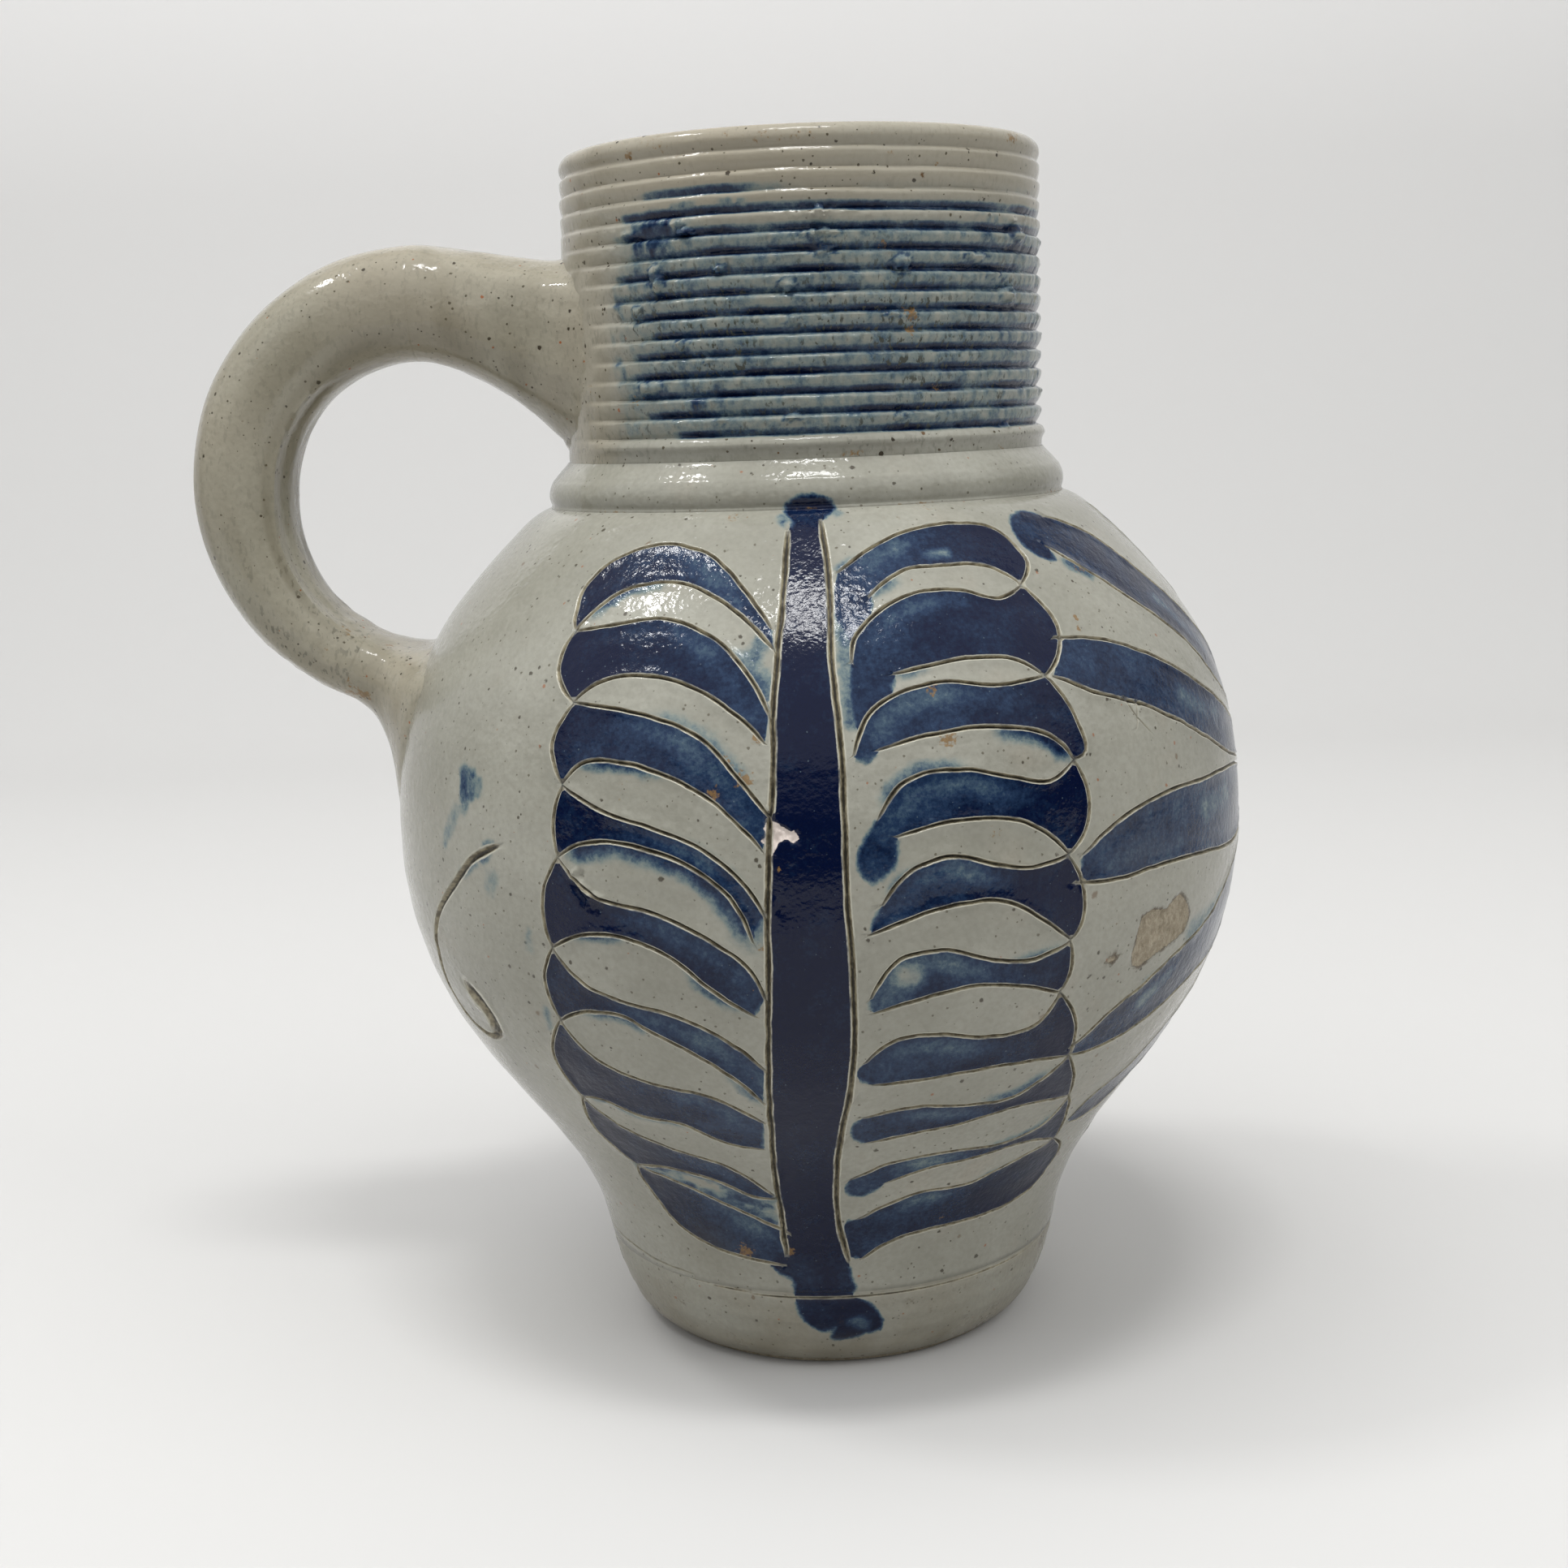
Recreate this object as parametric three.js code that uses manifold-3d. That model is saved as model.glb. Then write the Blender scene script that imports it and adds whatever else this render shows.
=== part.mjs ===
// A salt-glazed stoneware jug. The pot is turned in four lengths, foot, belly, cordon and
// neck, which stand on each other. A pulled handle is held by pressed clay at each end.
// Millimetres, +Z up. The origin is the centre of the flat face under the foot, and the
// handle points along -X.

import * as THREE from 'three';
import { mergeVertices } from 'three/addons/utils/BufferGeometryUtils.js';
import Module from 'manifold-3d';

const wasm = await Module();
wasm.setup();

// Driving dimensions of the pot
const wall = 5;
const baseRadius = 33.5;
const footRadius = 41.1;
const footHeight = 16;
const floorThickness = 7;
const floorRadius = 26;
const bellyRadius = 74.2;
const bellyHeight = 91;
const shoulderRadius = 45;
const shoulderHeight = 148;

// How far the foot's side bends in above its heel, and its inside above the floor
const heelFlare = 3.1;
const heelRise = 1.5;
const floorBend = 1;

// How far the belly's outline runs on in its own direction from the foot, from its widest
// and from the shoulder, before it bends away
const footRunOut = 4.4;
const footRunUp = 27.7;
const fullnessBelow = 38;
const fullnessAbove = 29;
const shoulderRunOut = 19;
const shoulderRunDown = 18;

// Driving dimensions of the neck
const neckRadius = 41.1;
const neckWall = 3.9;
const rimFlare = 0.2;
const neckLength = 57;
const groovePitch = 3.09;
const grooveDepth = 0.9;
const grooveWidth = 1.5;
const plainAboveShoulder = 10.1;
const plainBelowRim = 3.6;
const cordonHeight = 7;
const cordonBulge = 3.9;
const cordonUndercut = 0.8;
const cordonSwell = 0.5;
const cordonSwellHeight = 2;
const cordonFall = 0.2;
const cordonFallDepth = 1.7;
const cordonLip = 0.9;

// Driving dimensions of the handle
const handleReach = 25;
const handleRise = 2.2;
const handleArcRadius = 32.1;
const handleLowRadius = 32.8;
const handleWidth = 22;
const handleThicknessTop = 20.4;
const handleThicknessSide = 17.8;
const handleThicknessLow = 12.8;
const handleTopAngle = 90;
const handleSideAngle = 180;
const handleLowAngle = 245;
const upperLuteHeight = 34;
const upperLuteHalfWidth = 23.2;
const lowerLuteHeight = 24;
const lowerLuteHalfWidth = 20;
const lowerLuteDrop = 4;
const tailLength = 17;
const tailHalfWidth = 7;
const tailProud = 4;
const tailSunk = 5;
const tailThinning = 0.8;
const tailNarrowing = 0.75;

// How full the strap's section is on its outer, inner and narrow sides, where 1 is an ellipse
// and less is squarer
const outerFullness = 0.95;
const innerFullness = 0.7;
const sideFullness = 0.85;

// Clay that is cut by its neighbour stays this far from it
const clearance = 0.3;

// Corners of a surface nearer than this to each other are one corner
const mergeDistance = 1e-4;

// Steps in which the round forms are cut
const turnSteps = 48;
const lowerBellySteps = 8;
const upperBellySteps = 7;
const footSteps = 5;
const lipSteps = 8;
const cordonSteps = 7;
const handleSteps = 28;
const sectionSteps = 16;

const rimHeight = shoulderHeight + neckLength;
const rimRadius = neckRadius + rimFlare;
const boreRadius = neckRadius - neckWall;
const handleCentreX = -(neckRadius + handleReach);
const handleCentreZ = shoulderHeight + handleRise;

const flat = (r, z) => new THREE.Vector2(r, z);

// Turns geometry into a solid, with its faces outwards and its shared corners merged
function toSolid(geometry) {
  const bare = new THREE.BufferGeometry();
  bare.setAttribute('position', geometry.getAttribute('position').clone());
  bare.setIndex(geometry.getIndex().clone());
  const merged = mergeVertices(bare, mergeDistance);
  const corners = merged.getAttribute('position').array;
  const index = merged.getIndex().array;
  const triangles = [];
  for (let i = 0; i < index.length; i += 3) {
    const [a, b, c] = index.slice(i, i + 3);
    if (a !== b && b !== c && c !== a) {
      triangles.push([a, b, c]);
    }
  }
  const corner = (i) => new THREE.Vector3().fromArray(corners, 3 * i);
  let volume = 0;
  for (const [a, b, c] of triangles) {
    volume += corner(a).dot(corner(b).cross(corner(c)));
  }
  const facing = volume > 0 ? triangles : triangles.map(([a, b, c]) => [a, c, b]);
  return new wasm.Manifold(new wasm.Mesh({
    numProp: 3,
    vertProperties: new Float32Array(corners),
    triVerts: new Uint32Array(facing.flat()),
  }));
}

function toGeometry(solid) {
  const mesh = solid.getMesh();
  const geometry = new THREE.BufferGeometry();
  geometry.setAttribute('position', new THREE.BufferAttribute(mesh.vertProperties, 3));
  geometry.setIndex(new THREE.BufferAttribute(mesh.triVerts, 1));
  geometry.computeVertexNormals();
  return geometry;
}

// A profile of radius and height, turned about the Z axis
function turned(profile) {
  const closed = [...profile, profile[0]];
  return toSolid(new THREE.LatheGeometry(closed, turnSteps).rotateX(Math.PI / 2));
}

// A closed skin over rings with the same number of corners, flat at both ends
function loft(rings) {
  const size = rings[0].length;
  const last = size * (rings.length - 1);
  const index = [];
  for (let start = 0; start < last; start += size) {
    for (let i = 0; i < size; i++) {
      const a = start + i;
      const b = start + ((i + 1) % size);
      index.push(a, b, b + size, a, b + size, a + size);
    }
  }
  for (let i = 1; i < size - 1; i++) {
    index.push(0, i + 1, i, last, last + i, last + i + 1);
  }
  const geometry = new THREE.BufferGeometry().setFromPoints(rings.flat());
  geometry.setIndex(index);
  return toSolid(geometry);
}

// The belly's outline below and above its widest
const lowerBelly = new THREE.CubicBezierCurve(
  flat(footRadius, footHeight),
  flat(footRadius + footRunOut, footHeight + footRunUp),
  flat(bellyRadius, bellyHeight - fullnessBelow),
  flat(bellyRadius, bellyHeight),
);
const upperBelly = new THREE.CubicBezierCurve(
  flat(bellyRadius, bellyHeight),
  flat(bellyRadius, bellyHeight + fullnessAbove),
  flat(shoulderRadius + shoulderRunOut, shoulderHeight - shoulderRunDown),
  flat(shoulderRadius, shoulderHeight),
);

// Moves each point of a curve sideways, so that the two lie a given distance apart
function besideCurve(curve, steps, distance) {
  return curve.getPoints(steps).map((point, i) => {
    const way = curve.getTangent(i / steps);
    return flat(point.x + distance / Math.abs(way.y), point.y);
  });
}

function bellyOutline(distance) {
  const lower = besideCurve(lowerBelly, lowerBellySteps, distance);
  const upper = besideCurve(upperBelly, upperBellySteps, distance);
  return [...lower, ...upper.slice(1)];
}

const bellyInside = bellyOutline(-wall).map((p) => flat(Math.max(p.x, boreRadius), p.y));
bellyInside[0].x = footRadius - wall;

// Radius of the pot's outside at a height of the belly
function bellyRadiusAt(z) {
  const outline = bellyOutline(0);
  const above = Math.max(1, outline.findIndex((p) => p.y >= z));
  const [low, high] = [outline[above - 1], outline[above]];
  return THREE.MathUtils.mapLinear(z, low.y, high.y, low.x, high.x);
}

function bellySolid() {
  return turned([...bellyOutline(0), ...bellyInside.toReversed()]);
}

function footSolid() {
  const outside = new THREE.QuadraticBezierCurve(
    flat(baseRadius, 0),
    flat(footRadius - heelFlare, heelRise),
    flat(footRadius, footHeight),
  );
  const inside = new THREE.QuadraticBezierCurve(
    flat(footRadius - wall, footHeight),
    flat(footRadius - wall - floorBend, floorThickness),
    flat(floorRadius, floorThickness),
  );
  return turned([
    flat(0, 0),
    ...outside.getPoints(footSteps),
    ...inside.getPoints(footSteps),
    flat(0, floorThickness),
  ]);
}

// The band round the foot of the neck, fuller below, which stands on the shoulder
function cordonOutline(grow) {
  const top = shoulderHeight + cordonHeight;
  const fullest = neckRadius + cordonBulge;
  const curve = new THREE.CubicBezierCurve(
    flat(fullest - cordonUndercut, shoulderHeight),
    flat(fullest + cordonSwell, shoulderHeight + cordonSwellHeight),
    flat(fullest - cordonFall, top - cordonFallDepth),
    flat(neckRadius + cordonLip, top),
  );
  return curve.getPoints(cordonSteps).map((p) => flat(p.x + grow, p.y));
}

function cordonSolid() {
  const top = shoulderHeight + cordonHeight;
  return turned([
    flat(neckRadius + clearance, shoulderHeight),
    ...cordonOutline(0),
    flat(neckRadius + clearance, top),
  ]);
}

// The neck widens a little towards its rim
function neckRadiusAt(z) {
  return THREE.MathUtils.mapLinear(z, shoulderHeight, rimHeight, neckRadius, rimRadius);
}

function neckSolid() {
  const lowest = shoulderHeight + plainAboveShoulder;
  const highest = rimHeight - plainBelowRim;
  const gaps = Math.round((highest - lowest) / groovePitch);
  // The neck's foot is straight, so that the cordon keeps its clearance to it
  const profile = [
    flat(boreRadius, shoulderHeight),
    flat(neckRadius, shoulderHeight),
    flat(neckRadius, shoulderHeight + cordonHeight),
  ];
  for (let i = 0; i <= gaps; i++) {
    const z = lowest + i * groovePitch;
    const r = neckRadiusAt(z);
    profile.push(flat(r, z - grooveWidth / 2));
    profile.push(flat(r - grooveDepth, z));
    profile.push(flat(r, z + grooveWidth / 2));
  }
  const lip = (rimRadius - boreRadius) / 2;
  for (let i = 0; i <= lipSteps; i++) {
    const turn = (Math.PI * i) / lipSteps;
    const r = boreRadius + lip + lip * Math.cos(turn);
    profile.push(flat(r, rimHeight - lip + lip * Math.sin(turn)));
  }
  return turned(profile);
}

// What the handle's clay keeps clear of: the pot's outside, one clearance larger
function potSpace() {
  const beyondNeck = rimRadius + clearance;
  const belly = bellyOutline(clearance);
  return turned([
    flat(0, footHeight),
    ...belly,
    flat(belly.at(-1).x, shoulderHeight + clearance),
    ...cordonOutline(clearance).map((p) => flat(Math.max(p.x, beyondNeck), p.y + clearance)),
    flat(beyondNeck, rimHeight + clearance),
    flat(0, rimHeight + clearance),
  ]);
}

// A ring of the handle's section. Its middle is at x, z and its outer side lies along the
// angle. The inner side is flatter than the outer one.
function section({ x, z, angle, outer, inner, halfWidth }) {
  const turn = THREE.MathUtils.degToRad(angle);
  const out = new THREE.Vector3(Math.cos(turn), 0, Math.sin(turn));
  const ring = [];
  for (let i = 0; i < sectionSteps; i++) {
    const a = (2 * Math.PI * i) / sectionSteps;
    const rise = Math.sin(a);
    const sideways = Math.cos(a);
    const power = rise > 0 ? outerFullness : innerFullness;
    const height = Math.sign(rise) * Math.abs(rise) ** power * (rise > 0 ? outer : inner);
    const across = Math.sign(sideways) * Math.abs(sideways) ** sideFullness * halfWidth;
    ring.push(new THREE.Vector3(x, across, z).addScaledVector(out, height));
  }
  return ring;
}

// A size of the strap that goes from one value at its top over one at its side to one below
function alongHandle(angle, top, side, low) {
  const { mapLinear } = THREE.MathUtils;
  return angle < handleSideAngle
    ? mapLinear(angle, handleTopAngle, handleSideAngle, top, side)
    : mapLinear(angle, handleSideAngle, handleLowAngle, side, low);
}

// The section of the strap where its arc has come round to an angle
function strapRing(angle) {
  const turn = THREE.MathUtils.degToRad(angle);
  const half = alongHandle(angle, handleThicknessTop, handleThicknessSide, handleThicknessLow) / 2;
  const radius = alongHandle(angle, handleArcRadius, handleArcRadius, handleLowRadius);
  return {
    x: handleCentreX + radius * Math.cos(turn),
    z: handleCentreZ + radius * Math.sin(turn),
    angle,
    outer: half,
    inner: half,
    halfWidth: handleWidth / 2,
  };
}

function handleSolid() {
  const rings = [];
  for (let i = 0; i <= handleSteps; i++) {
    const angle = THREE.MathUtils.mapLinear(i, 0, handleSteps, handleTopAngle, handleLowAngle);
    rings.push(section(strapRing(angle)));
  }
  return loft(rings).subtract(potSpace());
}

// The clay between the strap and the neck: it flares downwards and round the neck
function upperLuteSolid() {
  const start = strapRing(handleTopAngle);
  const top = start.z + start.outer;
  const strapHeight = 2 * start.inner;
  const strapHalf = handleWidth / 2;
  // Each row has its share of the way to the neck, and how far its top lies below the strap's.
  // The last one lies inside the neck's wall.
  const rows = [
    { share: 0.32, drop: 0.4, height: strapHeight + 0.4, halfWidth: strapHalf },
    { share: 0.56, drop: 1.6, height: strapHeight + 2.2, halfWidth: strapHalf + 1 },
    { share: 0.76, drop: 2.4, height: strapHeight + 6.6, halfWidth: strapHalf + 3 },
    { share: 0.9, drop: 2.7, height: upperLuteHeight - 2.6, halfWidth: strapHalf + 6.5 },
    { share: 1, drop: 2.7, height: upperLuteHeight, halfWidth: upperLuteHalfWidth - 3 },
    { share: 1.3, drop: 2.5, height: upperLuteHeight + 0.6, halfWidth: upperLuteHalfWidth },
  ];
  const rings = [section({ ...start, x: start.x + clearance })];
  for (const { share, drop, height, halfWidth } of rows) {
    const x = THREE.MathUtils.lerp(start.x, -neckRadius, share);
    const z = top - drop - height / 2;
    const half = height / 2;
    rings.push(section({ x, z, angle: handleTopAngle, outer: half, inner: half, halfWidth }));
  }
  return loft(rings).subtract(potSpace());
}

// The clay between the strap's lower end and the belly, with a tail pulled down the belly
function lowerLuteSolid() {
  const gapAngle = THREE.MathUtils.radToDeg(clearance / handleArcRadius);
  const start = strapRing(handleLowAngle);
  const z = start.z - lowerLuteDrop;
  const surface = -bellyRadiusAt(z);
  const half = lowerLuteHeight / 2;
  // Each row has its distance in front of the wall, how far it lies above the middle, and its
  // sizes as shares of the clay's half height. The last one lies inside the belly's wall.
  const rows = [
    { before: 6.4, rise: 1.2, angle: 256, outer: 0.48, inner: 0.48, halfWidth: 11.5 },
    { before: 3, rise: 0, angle: 264, outer: 0.55, inner: 0.52, halfWidth: 13.5 },
    { before: 0, rise: 0, angle: 270, outer: 0.8, inner: 0.68, halfWidth: 17 },
    { before: -6, rise: 0, angle: 270, outer: 1, inner: 0.88, halfWidth: lowerLuteHalfWidth },
  ];
  const first = strapRing(handleLowAngle + gapAngle);
  const joint = [section({ ...first, outer: start.outer, inner: start.inner })];
  for (const row of rows) {
    joint.push(section({
      x: surface - row.before,
      z: z + row.rise,
      angle: row.angle,
      outer: half * row.outer,
      inner: half * row.inner,
      halfWidth: row.halfWidth,
    }));
  }
  // The tail gets thinner and narrower on its way down, from a little above the joint's middle
  const tail = [];
  for (const share of [-0.3, 0, 0.35, 0.7, 1]) {
    const level = z - half / 2 - share * tailLength;
    const below = Math.max(0, share);
    tail.push(section({
      x: -bellyRadiusAt(level),
      z: level,
      angle: handleSideAngle,
      outer: tailProud * (1 - tailThinning * below),
      inner: tailSunk,
      halfWidth: tailHalfWidth * (1 - tailNarrowing * below),
    }));
  }
  return loft(joint).add(loft(tail)).subtract(potSpace());
}

const clay = (color, roughness) => new THREE.MeshStandardMaterial({ color, roughness, metalness: 0 });
const pieces = {
  foot: [footSolid(), clay(0x9b968a, 0.5)],
  belly: [bellySolid(), clay(0xa3a297, 0.35)],
  neck_cordon: [cordonSolid(), clay(0xa6a498, 0.35)],
  neck: [neckSolid(), clay(0x7f8a97, 0.4)],
  handle: [handleSolid(), clay(0xa09e91, 0.35)],
  handle_upper_lute: [upperLuteSolid(), clay(0xa8a699, 0.4)],
  handle_lower_lute: [lowerLuteSolid(), clay(0x9d998b, 0.4)],
};

const group = new THREE.Group();
for (const [name, [solid, material]] of Object.entries(pieces)) {
  const mesh = new THREE.Mesh(toGeometry(solid), material);
  mesh.name = name;
  group.add(mesh);
}

export default group;
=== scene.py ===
# A salt-glazed stoneware jug with an incised leaf spray painted in cobalt, a ribbed neck and a
# pulled handle. Sizes here are millimetres, and heights are above the table. Places round the
# pot are degrees from the middle of the leaf spray, growing towards the right.

import math

import bpy
import numpy as np
from mathutils import Matrix, Vector, geometry, kdtree


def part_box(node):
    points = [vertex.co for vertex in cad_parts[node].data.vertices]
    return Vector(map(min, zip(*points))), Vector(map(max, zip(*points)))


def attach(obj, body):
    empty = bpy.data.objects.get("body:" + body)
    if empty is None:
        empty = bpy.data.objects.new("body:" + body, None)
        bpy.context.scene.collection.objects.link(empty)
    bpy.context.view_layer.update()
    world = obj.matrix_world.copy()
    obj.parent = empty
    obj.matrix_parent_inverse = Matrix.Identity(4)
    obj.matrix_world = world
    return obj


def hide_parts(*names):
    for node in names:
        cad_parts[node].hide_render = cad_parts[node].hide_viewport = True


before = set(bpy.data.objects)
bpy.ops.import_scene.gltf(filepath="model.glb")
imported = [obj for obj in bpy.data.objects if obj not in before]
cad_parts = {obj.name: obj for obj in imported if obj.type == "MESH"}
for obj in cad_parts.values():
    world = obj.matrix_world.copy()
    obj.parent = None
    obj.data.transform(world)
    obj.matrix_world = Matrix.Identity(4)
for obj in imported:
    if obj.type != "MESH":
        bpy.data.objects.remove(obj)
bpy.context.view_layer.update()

MM = 0.001
PHOTO_SIZE = 1932


# Sizes

def node_corners(node):
    """Lowest and highest corner of a CAD node in millimetres."""
    low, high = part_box(node)
    return np.array(low) / MM, np.array(high) / MM


FOOT_TOP = node_corners("foot")[1][2]
BELLY_RADIUS = node_corners("belly")[1][0]
SHOULDER = node_corners("belly")[1][2]
CORDON_TOP = node_corners("neck_cordon")[1][2]
RIM = node_corners("neck")[1][2]
RIM_RADIUS = node_corners("neck")[1][0]

WALL = 5
BASE_RADIUS = 33.5
FOOT_RADIUS = 41.1
FLOOR_RADIUS = 26
FLOOR_THICKNESS = 7
BELLY_HEIGHT = 91
SHOULDER_RADIUS = 45
NECK_RADIUS = 41.1
BORE_RADIUS = 37.2

GROOVE_COUNT = 15
GROOVE_PITCH = 3.09
LOWEST_GROOVE = SHOULDER + 10.1

HANDLE_REACH = 25
HANDLE_RISE = 2.2
HANDLE_ARC = 32.1
HANDLE_ARC_LOW = 32.8
HANDLE_WIDTH = 22
HANDLE_THICKNESS = {90: 20.4, 180: 17.8, 245: 12.8}
HANDLE_X = -(NECK_RADIUS + HANDLE_REACH)
HANDLE_Z = SHOULDER + HANDLE_RISE

# The neck leans a little to the right above the shoulder
NECK_LEAN = 0.75

# The shoulder's last few millimetres sink towards the crease below the cordon
SHOULDER_SINK = 1.5
SINK_BAND = 5
CORDON_FOOT = SHOULDER - SHOULDER_SINK
CORDON_HEAD = CORDON_TOP - 0.8

# The degrees at which the unrolled belly's two ends meet, behind the handle
SEAM_AT = -90

# Columns of the meshes that are turned round the axis
COLUMNS = 192
CORDON_COLUMNS = 360
NECK_COLUMNS = 480

# The belly is unrolled flat on a roll of this radius while its lines are laid out
ROLL = 60


# Curves and outlines

def bezier(corners, shares):
    """Points of a Bezier curve at some shares of its way."""
    rows = [np.tile(np.array(corner, float), (len(shares), 1)) for corner in corners]
    while len(rows) > 1:
        rows = [a + (b - a) * shares[:, None] for a, b in zip(rows, rows[1:])]
    return rows[0]


def lengths_along(points):
    """How far each point lies along its line."""
    steps = np.linalg.norm(np.diff(points, axis=0), axis=1)
    return np.concatenate([[0], np.cumsum(steps)])


def smoothstep(low, high, value):
    share = np.clip((value - low) / (high - low), 0, 1)
    return share * share * (3 - 2 * share)


def belly_curve(steps=160):
    """Radius and height along the belly's outside, from the foot to the shoulder."""
    lower = [
        (FOOT_RADIUS, FOOT_TOP),
        (FOOT_RADIUS + 4.4, FOOT_TOP + 27.7),
        (BELLY_RADIUS, BELLY_HEIGHT - 38),
        (BELLY_RADIUS, BELLY_HEIGHT),
    ]
    upper = [
        (BELLY_RADIUS, BELLY_HEIGHT),
        (BELLY_RADIUS, BELLY_HEIGHT + 29),
        (SHOULDER_RADIUS + 19, SHOULDER - 18),
        (SHOULDER_RADIUS, SHOULDER),
    ]
    shares = np.linspace(0, 1, steps)
    return np.vstack([bezier(lower, shares), bezier(upper, shares)[1:]])


BELLY = belly_curve()
BELLY_ARC = lengths_along(BELLY)
BELLY_LENGTH = BELLY_ARC[-1]
BELLY_SLOPE = np.gradient(BELLY, BELLY_ARC, axis=0)


def belly_radius(height):
    return np.interp(height, BELLY[:, 1], BELLY[:, 0])


def arc_at(height):
    """Length along the belly's outline at a height, run on straight below it and above it."""
    height = np.asarray(height, float)
    beyond = np.minimum(height - FOOT_TOP, 0) + np.maximum(height - SHOULDER, 0)
    return np.interp(height, BELLY[:, 1], BELLY_ARC) + beyond


def height_at(arc):
    arc = np.asarray(arc, float)
    beyond = np.minimum(arc, 0) + np.maximum(arc - BELLY_LENGTH, 0)
    return np.interp(arc, BELLY_ARC, BELLY[:, 1]) + beyond


def outward(arc):
    """The belly's outward direction, as its part along the radius and its part upwards."""
    radial = np.interp(arc, BELLY_ARC, BELLY_SLOPE[:, 1])
    upward = -np.interp(arc, BELLY_ARC, BELLY_SLOPE[:, 0])
    size = np.hypot(radial, upward)
    return radial / size, upward / size


def around(degrees, radius, height):
    """Places on the pot as x, y, z rows."""
    turn = np.radians(degrees)
    height = np.broadcast_to(height, np.shape(turn))
    return np.stack([radius * np.sin(turn), -radius * np.cos(turn), height], axis=-1)


def lattice_numbers(corners, seed):
    """A repeatable number between -1 and 1 for each corner of a lattice."""
    mixed = np.sin(corners @ np.array([12.9898, 78.233, 37.719]) + 4.137 * seed) * 43758.5453
    return 2 * (mixed - np.floor(mixed)) - 1


def smooth_noise(places, size, seed=0):
    """Even noise between about -1 and 1 at rows of places, with bumps of a given size."""
    spot = np.asarray(places, float) / size + 0.31 * seed
    cell = np.floor(spot)
    share = spot - cell
    ease = share * share * (3 - 2 * share)
    total = np.zeros(len(spot))
    for corner in np.ndindex(2, 2, 2):
        weight = np.where(corner, ease, 1 - ease).prod(axis=1)
        total += weight * lattice_numbers(cell + corner, seed)
    return total


def unevenness(places):
    """How far the hand-turned wall lies from the true round."""
    slow = 0.3 * smooth_noise(places, 55, seed=1)
    rings = 0.04 * np.sin(places[:, 2] * 0.74 + 2.2 * smooth_noise(places, 70, seed=2))
    dents = 0.1 * smooth_noise(places, 14, seed=3)
    return np.minimum(slow + rings + dents - 0.2, 0)


def shoulder_sink(height):
    """How far the shoulder sinks near the crease, as a negative height."""
    return -SHOULDER_SINK * np.clip((height - SHOULDER + SINK_BAND) / SINK_BAND, 0, 1) ** 2


def lean(places):
    """Moves rows of places sideways as the neck leans."""
    share = np.clip((places[:, 2] - SHOULDER) / (RIM - SHOULDER), 0, 1)
    return places + np.outer(share, [NECK_LEAN, 0, 0])


# The incised leaf spray. Each leaf has an upper line and a lower line, from its tip to the stem,
# and an outer arc between its two ends at the tip.

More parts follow.
